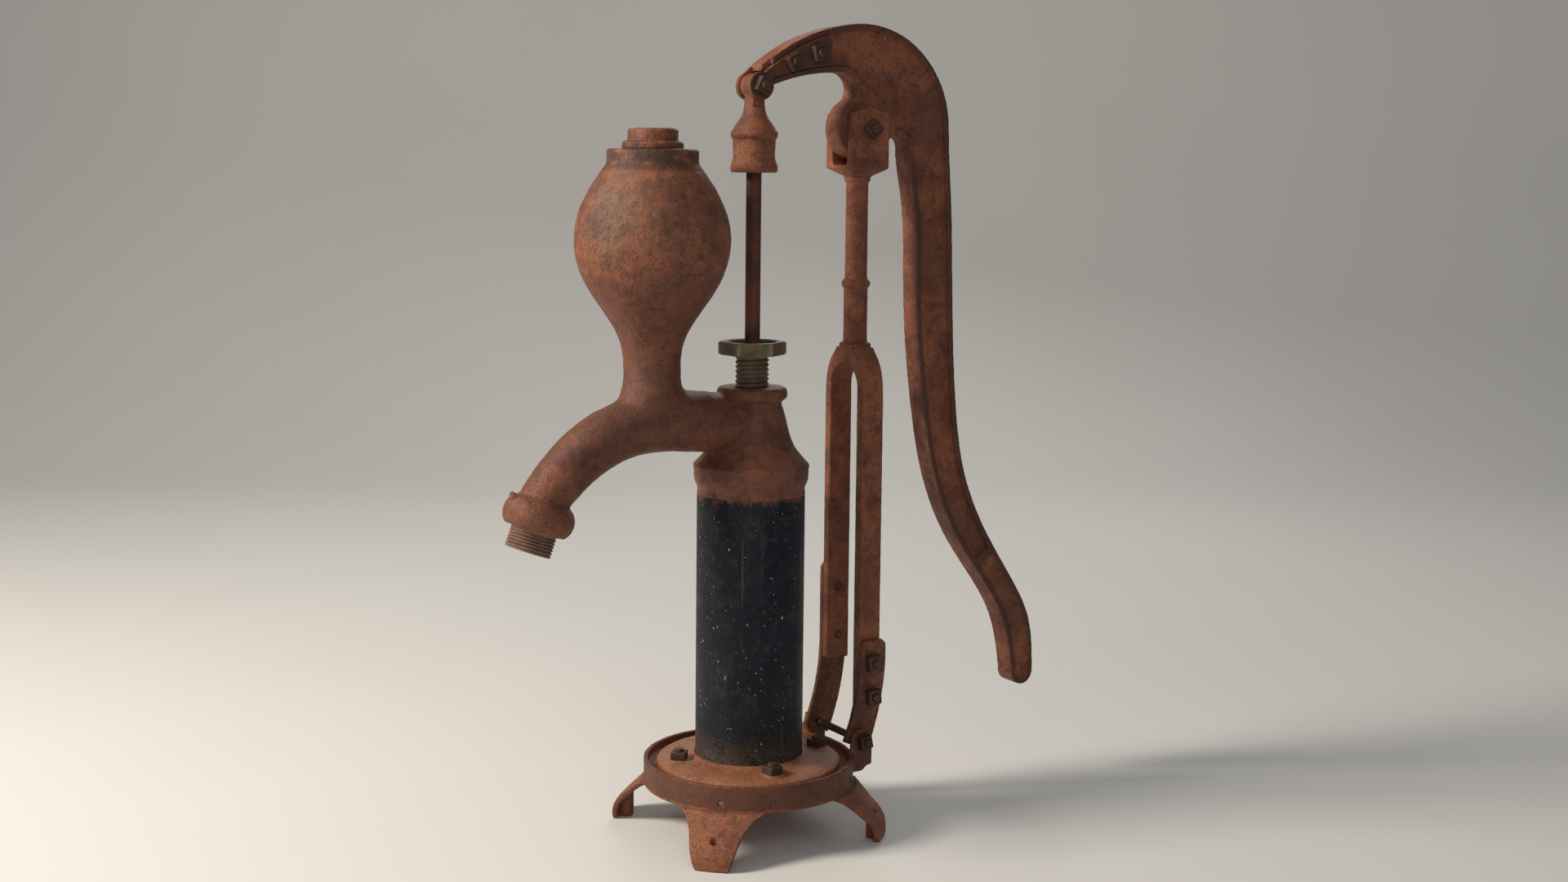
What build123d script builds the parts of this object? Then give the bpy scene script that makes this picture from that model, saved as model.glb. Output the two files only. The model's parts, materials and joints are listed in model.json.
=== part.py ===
"""Hand pitcher pump with an air vessel, a walking post and a curved lever, as separate pieces.

Frame: +Z up, the pump's axis on Z, the feet on Z = 0. The lever and its post stand at +X and
the spout points to -X. The lever swings in the XZ plane; its side plate and the nuts are at -Y.
Millimetres throughout. Every piece is written to parts/NAME.step.
"""
from build123d import *
import math
import os

# ---------------------------------------------------------------- fits
RUNNING_GAP = 0.06      # radial gap of a shaft that turns or slides in its hole
SEAT_GAP = 0.3          # gap between a moving piece and the face that it closes on
SIDE_GAP = 0.3          # gap on each side of a blade that swings between two cheeks

# ---------------------------------------------------------------- barrel and base
BARREL_OD = 114.3       # 4-inch iron pipe
BARREL_WALL = 6.0
BARREL_LENGTH = 287.0

HOOP_R = 112.0
HOOP_WALL = 4.5
HOOP_HEIGHT = 27.7
LEDGE_DROP = 7.7        # from the hoop's rim down to the ledge that carries the flange
LEDGE_THICK = 6.0
LEDGE_GAP = 4.0          # between the ledge and the underside of the flange's hub

LEG_COUNT = 4
LEG_FIRST_ANGLE = 45.0
FOOT_R = 148.0          # outermost radius of a foot
LEG_SLOPE = 45.0        # degrees below level of a leg's straight part
LEG_BEND_R = 28.0       # bend from the slope to the upright toe
LEG_PLATE = 5.5
TOE_HEIGHT = 7.0        # upright part of the toe
LEG_ROOT_WIDTH = 98.0
LEG_KNEE_WIDTH = 50.0
FOOT_WIDTH = 35.0
FOOT_HOLE_R = 3.4
FOOT_HOLE_CIRCLE_R = 137.0
SCREW_BOSS_R = 8.0
HOOP_HOLE_R = 3.0

FLANGE_R = 98.0
FLANGE_EDGE = 5.0
FLANGE_SOCKET_WALL = 4.85
FLANGE_HUB_RISE = 13.5  # from the ledge to the top of the socket that holds the barrel
FLANGE_FLOOR_DROP = 12.0
FLANGE_FLOOR_THICK = 7.0
SUCTION_BOSS_R = 31.0
SUCTION_BOSS_HEIGHT = 14.0
SUCTION_R = 20.6        # tapped for 1 1/4 inch pipe
SUCTION_DEPTH = 16.0
SUCTION_PORT_R = 17.0
FLANGE_BOLT_CIRCLE_R = 77.5
FLANGE_BOLT_COUNT = 4
FLANGE_BOLT_FIRST_ANGLE = -12.0
FLANGE_PAD_R = 11.0

# ---------------------------------------------------------------- fasteners
BOLT_R = 4.76           # 3/8 inch
NUT_SIDE = 16.0         # square nuts and heads, across the flats
NUT_THICK = 8.0
HEAD_THICK = 6.0
BOLT_END = 3.0          # thread that stands out of a nut
PIVOT_BOLT_R = 5.0
WASHER_R = 11.0
WASHER_THICK = 1.8
HINGE_BOLT_R = 4.0
HINGE_NUT_SIDE = 14.0
STRAP_BOLT_R = 4.0

# ---------------------------------------------------------------- foot valve
SEAT_THICK = 7.0
SEAT_PORT_R = 18.0
SEAT_HUB_R = 8.0
SEAT_SPOKE = 4.5
FOOT_VALVE_R = 27.0
FOOT_VALVE_THICK = 6.0
FOOT_VALVE_LIFT = 8.0
FOOT_STEM_R = 4.0
GASKET_THICK = 2.0

# ---------------------------------------------------------------- rod and plunger
ROD_R = 8.0
PLUNGER_TOP_DROP = 33.0     # from the barrel's top down to the top of the valve stop
PLUNGER_GAP = 3.65      # between the plunger's plates and the bore
PLUNGER_PLATE = 10.0
PLUNGER_HUB_R = 16.0
PLUNGER_PORT_R = 5.0
PLUNGER_PORT_CIRCLE_R = 25.0
PLUNGER_PORT_COUNT = 6
CUP_THICK = 3.0
CUP_HEIGHT = 18.0
FOLLOWER_THICK = 7.0
ROD_NUT_SIDE = 26.0
ROD_NUT_THICK = 12.0
PLUNGER_VALVE_R = 34.0
PLUNGER_VALVE_THICK = 4.0
PLUNGER_VALVE_LIFT = 8.0
VALVE_STOP_R = 15.0
VALVE_STOP_THICK = 5.0

# ---------------------------------------------------------------- head casting
SPIGOT_DEPTH = 16.0         # the part of the head that goes into the barrel
HEAD_WALL = 6.5
SKIRT_HEIGHT = 31.0
SKIRT_FLARE = 4.55          # of the shoulder beyond the barrel
BELL_HEIGHT = 94.5          # from the barrel's top to the root of the stuffing box flange
BELL_TOP_R = 31.1
BOX_FLANGE_R = 37.1
BOX_FLANGE_THICK = 14.0
BOX_FLANGE_ROUND = 5.5
BOX_NECK = 4.5              # flare between the bell and the flange
BOX_DEPTH = 44.0
BOX_FLOOR = 8.0
PACKING_RING_HEIGHT = 7.0
PACKING_RING_COUNT = 3

GLAND_THREAD_R = 17.7
GLAND_FOLLOWER_THICK = 6.0
GLAND_EXPOSED = 33.7        # thread between the flange and the nut's head
GLAND_HEAD_CORNERS = 71.7
GLAND_HEAD_THICK = 13.8
GLAND_CUP_R = 25.5
GLAND_CUP_DEPTH = 5.0

ARM_RISE = 80.0             # from the barrel's top to the arm's centreline at the bell
ARM_R = 32.0
VESSEL_X = -118.3
VESSEL_BASE_RISE = 114.0    # from the barrel's top to the foot of the vessel's neck
NECK_R = 29.2
VESSEL_R = 79.3
VESSEL_BELLY_RISE = 155.0   # from the foot of the neck to the widest place
VESSEL_TOP_RISE = 245.4     # from the foot of the neck to the rim
VESSEL_RIM_R = 46.6
VESSEL_RIM_HEIGHT = 16.0
VESSEL_MOUTH_R = 22.0
VESSEL_WALL = 7.0
PLUG_FLANGE_R = 31.0
PLUG_FLANGE_THICK = 7.6
PLUG_CAP_R = 25.6
PLUG_CAP_HEIGHT = 13.4
PLUG_STEM = 16.0

SPOUT_END_X = -249.0
SPOUT_END_DROP = 18.5       # below the barrel's top
SPOUT_TILT = 20.0           # degrees between the nozzle and the vertical
SPOUT_R = 25.5
COLLAR_R = 36.5
COLLAR_HEIGHT = 31.0
NIPPLE_R = 24.15            # outside of the spout's thread
NIPPLE_WALL = 3.6
NIPPLE_OUT = 22.0
NIPPLE_IN = 18.0
NIPPLE_RELIEF = 2.0         # plain part between the collar and the thread
NIPPLE_RELIEF_DEPTH = 0.8
HOOK_SIZE = 8.0

# ---------------------------------------------------------------- linkage
PIN_RISE = 312.4            # crosshead pin above the stuffing box flange
LEVER_ARM = 135.6           # crosshead pin to fulcrum
LEVER_LIFT = 18.0           # degrees by which the pin stands above the fulcrum, at rest
LEVER_SWING = 48.0          # degrees that the lever turns
HINGE_RISE = 11.6           # hinge pin above the hoop's rim
HINGE_REACH = 1.0           # hinge pin outside the hoop

CROSSHEAD_R = 22.0
CROSSHEAD_EYE_R = 13.0
CROSSHEAD_EYE_THICK = 17.0
CROSSHEAD_HEIGHT = 89.0     # from its bottom edge to the pin
CROSSHEAD_SOCKET = 56.0     # depth of the socket that takes the rod

LEVER_THICK = 27.0
LEVER_RIM = 6.0             # width of the raised rim round the lever's side panels
GRIP_PANEL_DEPTH = 2.0
BAND_WIDTH = 9.0
TIP_R = 14.5
CROWN_R = 111.0
CROWN_START = 95.0
HUB_R = 33.0
HUB_PAD_R = 80.0            # round edge of the raised pad about the fulcrum
HUB_PAD_REACH = 37.0        # from the fulcrum to that edge, where they are nearest
HUB_PAD_ANGLE = 35.0
NECK_HOOK_R = 17.5
NOTCH_R = 14.5
NOTCH_ANGLE = -25.0
UNDER_RISE = 13.0           # the front arm's underside above the pin, half way to the hook
GRIP_CAP = 15.5
# Down the lever's long arm: drop below the fulcrum, reach from it, and width across
ARM_STATIONS = [(67.0, 90.0, 50.4), (176.0, 95.5, 48.5), (304.0, 105.8, 43.5), (383.0, 121.5, 39.5),
                (456.0, 156.0, 36.0), (530.0, 206.5, 32.5), (575.0, 224.5, 34.0), (618.0, 229.3, 30.0)]
BAND_STATION = 478.0        # drop of the band above the grip

SIDE_PLATE_THICK = 6.5
SIDE_PLATE_END = 85.0       # from the crosshead pin to the plate's end
SIDE_PLATE_GAP = 0.6
SIDE_PLATE_CORNER_R = 7.0
FORK_BOLT_REACHES = (45.0, 76.5)    # from the crosshead pin
FLANGE_END_X = 14.0

EAR_WIDTH = 46.0
EAR_RISE = 22.3             # from the fulcrum up to the top of the ears
EAR_CROWN_DROP = 6.0        # from there down to where the ears' round corners start
EAR_CORNER_R = 7.0
EAR_THICK = 12.0
EAR_DEPTH = 41.5            # from the fulcrum down to the ears' shoulder
SLOT_DEPTH = 38.5           # from the fulcrum down to the slot's floor
SLOT_CORNER_R = 5.0
SHOULDER = 9.5
RING_R = 14.2
RING_HEIGHT = 5.5
POST_R = 12.0
POST_LOWER_R = 12.9
POST_BEAD_DROP = 165.0
POST_BEAD_R = 15.4
POST_BEAD_HEIGHT = 11.0
POST_COLLAR_DROP = 228.0
POST_COLLAR_R = 17.0
POST_COLLAR_HEIGHT = 7.0
YOKE_ARCH_FALL = 23.0       # from the collar down to the top of the arch between the tines
TINE_WIDTH = 27.5
TINE_THICK = 11.0
TINE_GAP = 51.0
FAR_TINE_DROP = 583.0
NEAR_TINE_DROP = 626.0

STRAP_WIDTH = 32.0
STRAP_THICK = 6.0
STRAP_LEAN = 2.0            # centreline of a strap's straight part beyond that of the tines
STRAP_BEND_HEIGHT = 95.0    # of the bent part, above the hinge pin
STRAP_TAIL = 7.5            # strap below the hinge pin
NEAR_STRAP_TOP = 549.0      # drops below the fulcrum
FAR_STRAP_TOP = 476.0
NEAR_BOLT_DROPS = (573.3, 610.4)
FAR_BOLT_DROPS = (502.4, 556.9)
CARRIAGE_HEAD_R = 8.0
CARRIAGE_HEAD_THICK = 3.0

LUG_THICK = 7.0
LUG_R = 12.5
LUG_GAP = 0.5               # between a strap and its lug
LUG_FOOT_DROP = 33.0

# ---------------------------------------------------------------- places that follow from the sizes
SLOPE = math.radians(LEG_SLOPE)
LEG_RUN = (FOOT_R - HOOP_R - LEG_BEND_R * (1 - math.sin(SLOPE))) / math.cos(SLOPE)
LEG_TOP = TOE_HEIGHT + LEG_RUN * math.sin(SLOPE) + LEG_BEND_R * math.cos(SLOPE)
HOOP_BOTTOM = LEG_TOP - 5.0
HOOP_TOP = HOOP_BOTTOM + HOOP_HEIGHT
LEDGE_TOP = HOOP_TOP - LEDGE_DROP
FLANGE_TOP = LEDGE_TOP + FLANGE_HUB_RISE
FLOOR_BOTTOM = LEDGE_TOP - FLANGE_FLOOR_DROP
FLOOR_TOP = FLOOR_BOTTOM + FLANGE_FLOOR_THICK + SUCTION_DEPTH / 2
PAD_TOP = FLANGE_TOP - 2.5
BARREL_R = BARREL_OD / 2
BORE_R = BARREL_R - BARREL_WALL
FLANGE_HUB_R = BARREL_R + FLANGE_SOCKET_WALL
LEDGE_INNER_R = FLANGE_HUB_R + LEDGE_GAP
SKIRT_R = BARREL_R + SKIRT_FLARE
PLUNGER_BODY_R = BORE_R - PLUNGER_GAP
BARREL_BOTTOM = FLOOR_TOP + GASKET_THICK
BARREL_TOP = BARREL_BOTTOM + BARREL_LENGTH
SEAT_TOP = BARREL_BOTTOM + SEAT_THICK
BOX_TOP = BARREL_TOP + BELL_HEIGHT + BOX_NECK + BOX_FLANGE_THICK
BOX_BORE_R = GLAND_THREAD_R + RUNNING_GAP
PACKING_BOTTOM = BOX_TOP - BOX_DEPTH
PACKING_TOP = PACKING_BOTTOM + PACKING_RING_COUNT * PACKING_RING_HEIGHT
FOLLOWER_TOP = PACKING_TOP + GLAND_FOLLOWER_THICK
GLAND_HEAD_BOTTOM = BOX_TOP + GLAND_EXPOSED
PIN = (0.0, BOX_TOP + PIN_RISE)
LIFT = math.radians(LEVER_LIFT)
FULCRUM = (LEVER_ARM * math.cos(LIFT), PIN[1] - LEVER_ARM * math.sin(LIFT))
HINGE = (HOOP_R + HINGE_REACH, HOOP_TOP + HINGE_RISE)
VALVE_STOP_TOP = BARREL_TOP - PLUNGER_TOP_DROP
EYE_SLOT = CROSSHEAD_EYE_THICK / 2 + SIDE_GAP    # half width of the fork's slot
HUB_THICK = LEVER_THICK + 1.5
CLEVIS_GAP = HUB_THICK + 2 * SIDE_GAP
CLEVIS_Y = CLEVIS_GAP / 2 + EAR_THICK            # outer face of an ear
TINE_INNER_Y = TINE_GAP / 2
TINE_OUTER_Y = TINE_INNER_Y + TINE_THICK
STRAP_OUTER_Y = TINE_OUTER_Y + STRAP_THICK
LUG_INNER_Y = STRAP_OUTER_Y + LUG_GAP
LUG_OUTER_Y = LUG_INNER_Y + LUG_THICK
SIDE_PLATE_OUTER = EYE_SLOT + SIDE_PLATE_THICK
YOKE_ARCH_DROP = POST_COLLAR_DROP + YOKE_ARCH_FALL


# ---------------------------------------------------------------- helpers
def polar(center, radius, degrees):
    """A point on a circle in the XZ plane, with the angle counted from +X towards +Z."""
    angle = math.radians(degrees)
    return (center[0] + radius * math.cos(angle), center[1] + radius * math.sin(angle))


def arc(center, radius, start, end):
    """An arc about a centre; the sign of end - start gives its sense."""
    return ThreePointArc(polar(center, radius, start), polar(center, radius, (start + end) / 2),
                         polar(center, radius, end))


def angle_to(center, point):
    return math.degrees(math.atan2(point[1] - center[1], point[0] - center[0]))


def spun(*outline):
    """Turn a closed (radius, height) outline about the Z axis."""
    return revolve(Plane.XZ * make_face(Polyline(*outline, close=True)), Axis.Z)


def spun_curve(curve):
    """Turn a closed curve of (radius, height) edges about the Z axis."""
    return revolve(Plane.XZ * make_face(curve), Axis.Z)


def disc(radius, bottom, top, hole=0.0):
    """A round plate or ring on the Z axis."""
    face = Circle(radius)
    if hole:
        face -= Circle(hole)
    return Pos(0, 0, bottom) * extrude(face, top - bottom)


def slab(face, y_low, y_high):
    """An XZ outline made solid between two Y values."""
    return Pos(0, y_high, 0) * extrude(Plane.XZ * face, y_high - y_low)


def bar_y(place, radius, y_low, y_high):
    """A round bar along Y through an XZ place."""
    return slab(Pos(*place) * Circle(radius), y_low, y_high)


def square_y(place, side, y_low, y_high, turn=0.0):
    return slab(Pos(*place) * Rot(0, 0, turn) * Rectangle(side, side), y_low, y_high)


def nut_y(place, side, radius, y_low, y_high, turn=0.0):
    """A square nut along Y with its hole."""
    return square_y(place, side, y_low, y_high, turn) - bar_y(place, radius, y_low, y_high)


def around(count, first=0.0):
    """Angles of a round pattern, in degrees."""
    return [first + index * 360.0 / count for index in range(count)]


def turned(shape, degrees):
    return Rot(0, 0, degrees) * shape


def save(name, *solids):
    """Write one node; several solids share a node as a group."""
    shape = solids[0] if len(solids) == 1 else Compound(children=list(solids))
    export_step(shape, f"parts/{name}.step")


# ---------------------------------------------------------------- base
def leg_shell():
    """The legs' common surface of revolution: a sloping plate that bends down into a toe."""
    def edge(inset):
        bend = LEG_BEND_R - inset
        shift = (inset * math.sin(SLOPE), inset * math.cos(SLOPE))
        start = (HOOP_R - shift[0], LEG_TOP - shift[1])
        knee = (start[0] + LEG_RUN * math.cos(SLOPE), start[1] - LEG_RUN * math.sin(SLOPE))
        return start, knee, arc((FOOT_R - LEG_BEND_R, TOE_HEIGHT), bend, 90 - LEG_SLOPE, 0)

    outer_start, outer_knee, outer_bend = edge(0.0)
    inner_start, inner_knee, inner_bend = edge(LEG_PLATE)
    curve = Line(outer_start, outer_knee) + outer_bend
    curve += Polyline((FOOT_R, TOE_HEIGHT), (FOOT_R, 0), (FOOT_R - LEG_PLATE, 0),
                      (FOOT_R - LEG_PLATE, TOE_HEIGHT))
    curve += inner_bend + Polyline(inner_knee, inner_start, outer_start)
    return spun_curve(curve)


def under_leg_shell():
    """Everything that lies inside the legs' outer surface, to trim the screw bosses."""
    knee = (HOOP_R + LEG_RUN * math.cos(SLOPE), LEG_TOP - LEG_RUN * math.sin(SLOPE))
    curve = Line((HOOP_R, LEG_TOP), knee)
    curve += arc((FOOT_R - LEG_BEND_R, TOE_HEIGHT), LEG_BEND_R, 90 - LEG_SLOPE, 0)
    curve += Polyline((FOOT_R, TOE_HEIGHT), (FOOT_R, 0), (HOOP_R - HOOP_WALL, 0),
                      (HOOP_R - HOOP_WALL, LEG_TOP), (HOOP_R, LEG_TOP))
    return spun_curve(curve)


def leg_cutter():
    """The shape of one leg seen from outside, as a prism along +X."""
    root, knee, foot = LEG_ROOT_WIDTH / 2, LEG_KNEE_WIDTH / 2, FOOT_WIDTH / 2
    top = HOOP_BOTTOM + 1.0
    side = [(root, top), (knee + 0.35 * (root - knee), 0.82 * top), (knee, 0.45 * top), (foot, 0)]
    right = Spline(*side)
    left = Spline(*[(-y, z) for y, z in side])
    face = make_face(right + left + Line(side[0], (-root, top)) + Line(side[-1], (-foot, 0)))
    return Pos(HOOP_R - 2 * HOOP_WALL, 0, 0) * extrude(Plane.YZ * face, FOOT_R)


def hinge_lug(y_low, y_high):
    """One lug of the hoop that holds the hinge pin of the post."""
    foot = HINGE[1] - LUG_FOOT_DROP
    outline = Pos(*HINGE) * Circle(LUG_R)
    left = HINGE[0] - LUG_R - 3 * HOOP_WALL
    outline += make_face(Polyline(
        (left, foot), (HINGE[0], foot), (HINGE[0] + 0.5 * LUG_R, foot + 5.0),
        (HINGE[0] + LUG_R, foot + 6.0), (HINGE[0] + LUG_R, HINGE[1]),
        (HINGE[0] - LUG_R, HINGE[1]), (left, HOOP_TOP), close=True))
    lug = slab(outline, y_low, y_high)
    lug -= disc(HOOP_R - HOOP_WALL / 2, 0, HOOP_TOP + HINGE_RISE + 2 * LUG_R)
    return lug - bar_y(HINGE, HINGE_BOLT_R, y_low, y_high)


def base_ring():
    """Hoop, inner ledge, four spread legs with screw holes, and the two hinge lugs."""
    ring = disc(HOOP_R, HOOP_BOTTOM, HOOP_TOP, hole=HOOP_R - HOOP_WALL)
    ring += disc(HOOP_R - HOOP_WALL / 2, LEDGE_TOP - LEDGE_THICK, LEDGE_TOP, hole=LEDGE_INNER_R)
    leg = leg_shell() & leg_cutter()
    boss = Pos(FOOT_HOLE_CIRCLE_R, 0, 0) * extrude(Circle(SCREW_BOSS_R), LEG_TOP)
    leg += boss & under_leg_shell()
    leg -= Pos(FOOT_HOLE_CIRCLE_R, 0, 0) * extrude(Circle(FOOT_HOLE_R), LEG_TOP)
    hole_height = HOOP_BOTTOM + HOOP_HEIGHT / 3
    hoop_hole = Pos(HOOP_R - 2 * HOOP_WALL, 0, hole_height) * extrude(
        Plane.YZ * Circle(HOOP_HOLE_R), 4 * HOOP_WALL)
    for angle in around(LEG_COUNT, LEG_FIRST_ANGLE):
        ring += turned(leg, angle)
        ring -= turned(hoop_hole, angle)
    for angle in around(FLANGE_BOLT_COUNT, FLANGE_BOLT_FIRST_ANGLE):
        ring -= turned(Pos(FLANGE_BOLT_CIRCLE_R, 0, 0) * extrude(Circle(BOLT_R), LEDGE_TOP), angle)
    ring += hinge_lug(-LUG_OUTER_Y, -LUG_INNER_Y)
    ring += hinge_lug(LUG_INNER_Y, LUG_OUTER_Y)
    return ring


def base_flange():
    """Domed flange with the barrel's socket above and the tapped suction boss below."""
    rise = FLANGE_TOP - LEDGE_TOP
    dome = Spline((FLANGE_R, LEDGE_TOP + FLANGE_EDGE), (FLANGE_R - 16, LEDGE_TOP + 0.72 * rise),
                  (FLANGE_HUB_R + 4, FLANGE_TOP - 2.0), (FLANGE_HUB_R - 2, FLANGE_TOP))
    boss_bottom = FLOOR_BOTTOM - SUCTION_BOSS_HEIGHT
    mouth = boss_bottom + SUCTION_DEPTH
    outline = Polyline(
        (FLANGE_HUB_R - 2, FLANGE_TOP), (BARREL_R, FLANGE_TOP), (BARREL_R, FLOOR_TOP),
        (SUCTION_PORT_R, FLOOR_TOP), (SUCTION_PORT_R, mouth), (SUCTION_R, mouth),
        (SUCTION_R, boss_bottom), (SUCTION_BOSS_R, boss_bottom), (SUCTION_BOSS_R, FLOOR_BOTTOM),
        (FLANGE_HUB_R, FLOOR_BOTTOM), (FLANGE_HUB_R, LEDGE_TOP), (FLANGE_R, LEDGE_TOP),
        (FLANGE_R, LEDGE_TOP + FLANGE_EDGE))
    flange = spun_curve(dome + outline)
    pad = Pos(FLANGE_BOLT_CIRCLE_R, 0, LEDGE_TOP + 1) * extrude(Circle(FLANGE_PAD_R), PAD_TOP - LEDGE_TOP - 1)
    spot_face = Pos(FLANGE_BOLT_CIRCLE_R, 0, PAD_TOP) * extrude(Circle(NUT_SIDE * 0.72), NUT_THICK)
    hole = Pos(FLANGE_BOLT_CIRCLE_R, 0, LEDGE_TOP) * extrude(Circle(BOLT_R), FLANGE_HUB_RISE)
    for angle in around(FLANGE_BOLT_COUNT, FLANGE_BOLT_FIRST_ANGLE):
        flange += turned(pad, angle)
        flange -= turned(spot_face, angle)
        flange -= turned(hole, angle)
    return flange


def flange_bolts():
    """Four bolts with their square heads under the ledge."""
    low = LEDGE_TOP - LEDGE_THICK
    bolt = Pos(FLANGE_BOLT_CIRCLE_R, 0, low) * extrude(Circle(BOLT_R), PAD_TOP + NUT_THICK + BOLT_END - low)
    bolt += Pos(FLANGE_BOLT_CIRCLE_R, 0, low - HEAD_THICK) * extrude(Rectangle(NUT_SIDE, NUT_SIDE), HEAD_THICK)
    return [turned(bolt, angle) for angle in around(FLANGE_BOLT_COUNT, FLANGE_BOLT_FIRST_ANGLE)]


def flange_nuts():
    turns = (35, 10, 62, 20)
    nut = Pos(0, 0, PAD_TOP) * extrude(Rectangle(NUT_SIDE, NUT_SIDE) - Circle(BOLT_R), NUT_THICK)
    angles = around(FLANGE_BOLT_COUNT, FLANGE_BOLT_FIRST_ANGLE)
    return [turned(Pos(FLANGE_BOLT_CIRCLE_R, 0, 0) * turned(nut, turns[index % len(turns)]), angle)
            for index, angle in enumerate(angles)]


# ---------------------------------------------------------------- foot valve
def foot_valve_seat():
    """Ring with three spokes that guide the valve's stem."""
    seat = disc(BORE_R - RUNNING_GAP, BARREL_BOTTOM, SEAT_TOP, hole=SEAT_PORT_R)
    spoke = Pos(SEAT_PORT_R / 2 + SEAT_HUB_R / 4, 0, BARREL_BOTTOM) * extrude(
        Rectangle(SEAT_PORT_R, SEAT_SPOKE), SEAT_THICK - 2.0)
    for angle in around(3, 90.0):
        seat += turned(spoke, angle)
    seat += disc(SEAT_HUB_R, BARREL_BOTTOM, SEAT_TOP - 1.0)
    return seat - disc(FOOT_STEM_R + RUNNING_GAP, BARREL_BOTTOM, SEAT_TOP)


def foot_valve():
    """Poppet: a disc with a stem below and a knob above."""
    low = SEAT_TOP + SEAT_GAP
    top = low + FOOT_VALVE_THICK
    poppet = disc(FOOT_VALVE_R, low, top)
    poppet += disc(FOOT_STEM_R, BARREL_BOTTOM, low)
    return poppet + spun((0, top), (9, top), (6, top + 6), (0, top + 7))


# ---------------------------------------------------------------- plunger and rod
VALVE_TOP = VALVE_STOP_TOP - VALVE_STOP_THICK - PLUNGER_VALVE_LIFT - SEAT_GAP
VALVE_BOTTOM = VALVE_TOP - PLUNGER_VALVE_THICK
PLATE_TOP = VALVE_BOTTOM - SEAT_GAP
PLATE_BOTTOM = PLATE_TOP - PLUNGER_PLATE
CUP_BOTTOM = PLATE_BOTTOM - CUP_THICK
ROD_NUT_TOP = CUP_BOTTOM - FOLLOWER_THICK
ROD_BOTTOM = ROD_NUT_TOP - ROD_NUT_THICK - BOLT_END
CROSSHEAD_BOTTOM = PIN[1] - CROSSHEAD_HEIGHT
ROD_TOP = CROSSHEAD_BOTTOM + CROSSHEAD_SOCKET


def piston_rod():
    return disc(ROD_R, ROD_BOTTOM, ROD_TOP)


def port_holes(bottom, top):
    hole = Pos(PLUNGER_PORT_CIRCLE_R, 0, bottom) * extrude(Circle(PLUNGER_PORT_R), top - bottom)
    return [turned(hole, angle) for angle in around(PLUNGER_PORT_COUNT)]


def plunger_body():
    """Ported plate that clamps the cup leather from above and seats the ring valve."""
    body = disc(PLUNGER_BODY_R, PLATE_BOTTOM, PLATE_TOP - 2.0, hole=ROD_R)
    body += disc(PLUNGER_VALVE_R, PLATE_BOTTOM, PLATE_TOP, hole=ROD_R)
    for hole in port_holes(PLATE_BOTTOM, PLATE_TOP):
        body -= hole
    return body


def cup_leather():
    """Leather cup: a flat ring that turns up along the bore."""
    lip = BORE_R - RUNNING_GAP
    bend = CUP_BOTTOM + CUP_THICK
    inner = PLUNGER_PORT_CIRCLE_R + PLUNGER_PORT_R + 3.0
    return spun((inner, CUP_BOTTOM), (lip - 2, CUP_BOTTOM), (lip, CUP_BOTTOM + 2),
                (lip, CUP_BOTTOM + CUP_HEIGHT), (lip - CUP_THICK, CUP_BOTTOM + CUP_HEIGHT),
                (lip - CUP_THICK, bend), (inner, bend))


def plunger_follower():
    """Plate under the cup leather, with the same ports."""
    plate = disc(PLUNGER_BODY_R, ROD_NUT_TOP, CUP_BOTTOM, hole=ROD_R)
    inner = PLUNGER_PORT_CIRCLE_R + PLUNGER_PORT_R + 3.0
    plate += disc(inner, CUP_BOTTOM, PLATE_BOTTOM, hole=ROD_R)
    for hole in port_holes(ROD_NUT_TOP, PLATE_BOTTOM):
        plate -= hole
    return plate


def rod_nut():
    nut = extrude(Rectangle(ROD_NUT_SIDE, ROD_NUT_SIDE) - Circle(ROD_R), ROD_NUT_THICK)
    return Pos(0, 0, ROD_NUT_TOP - ROD_NUT_THICK) * nut


def plunger_valve():
    return disc(PLUNGER_VALVE_R - 1.0, VALVE_BOTTOM, VALVE_TOP, hole=ROD_R + RUNNING_GAP)


def valve_stop():
    stop = disc(VALVE_STOP_R, VALVE_STOP_TOP - VALVE_STOP_THICK, VALVE_STOP_TOP, hole=ROD_R)
    return stop


def crosshead():
    """Turned socket for the rod, with a waist, a bead and an eye for the lever's pin."""
    def rel(radius, drop):
        return (radius, PIN[1] - drop)

    height = CROSSHEAD_HEIGHT
    wide = CROSSHEAD_R
    barrel = Spline(rel(wide + 2.5, height - 2.0), rel(wide + 2.8, height - 4.5), rel(wide + 0.4, height - 13),
                    rel(wide, height - 24), rel(wide + 0.4, height - 34.5))
    bead = ThreePointArc(rel(wide + 0.4, height - 34.5), rel(wide + 2.8, height - 39.4),
                         rel(wide + 0.2, height - 44.5))
    neck = Spline(rel(wide + 0.2, height - 44.5), rel(0.85 * wide, height - 50.5), rel(0.61 * wide, height - 58.5),
                  rel(0.5 * wide, height - 67.0), rel(0.48 * wide, 8.0))
    ends = Polyline(rel(0.48 * wide, 8.0), rel(0, 8.0), rel(0, height), rel(wide + 1.4, height),
                    rel(wide + 2.5, height - 2.0))
    body = spun_curve(barrel + bead + neck + ends)
    half = CROSSHEAD_EYE_THICK / 2
    body &= slab(Pos(0, PIN[1] - height / 2) * Rectangle(4 * CROSSHEAD_R, height), -height, height)
    eye = bar_y(PIN, CROSSHEAD_EYE_R, -half, half)
    cheek = slab(Pos(0, PIN[1]) * Rectangle(4 * CROSSHEAD_R, 2 * 22.0), half, height)
    body -= cheek
    body -= mirror(cheek, Plane.XZ)
    body += eye
    body -= disc(ROD_R, CROSSHEAD_BOTTOM, ROD_TOP)
    return body - bar_y(PIN, PIVOT_BOLT_R + RUNNING_GAP, -half, half)


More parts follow.
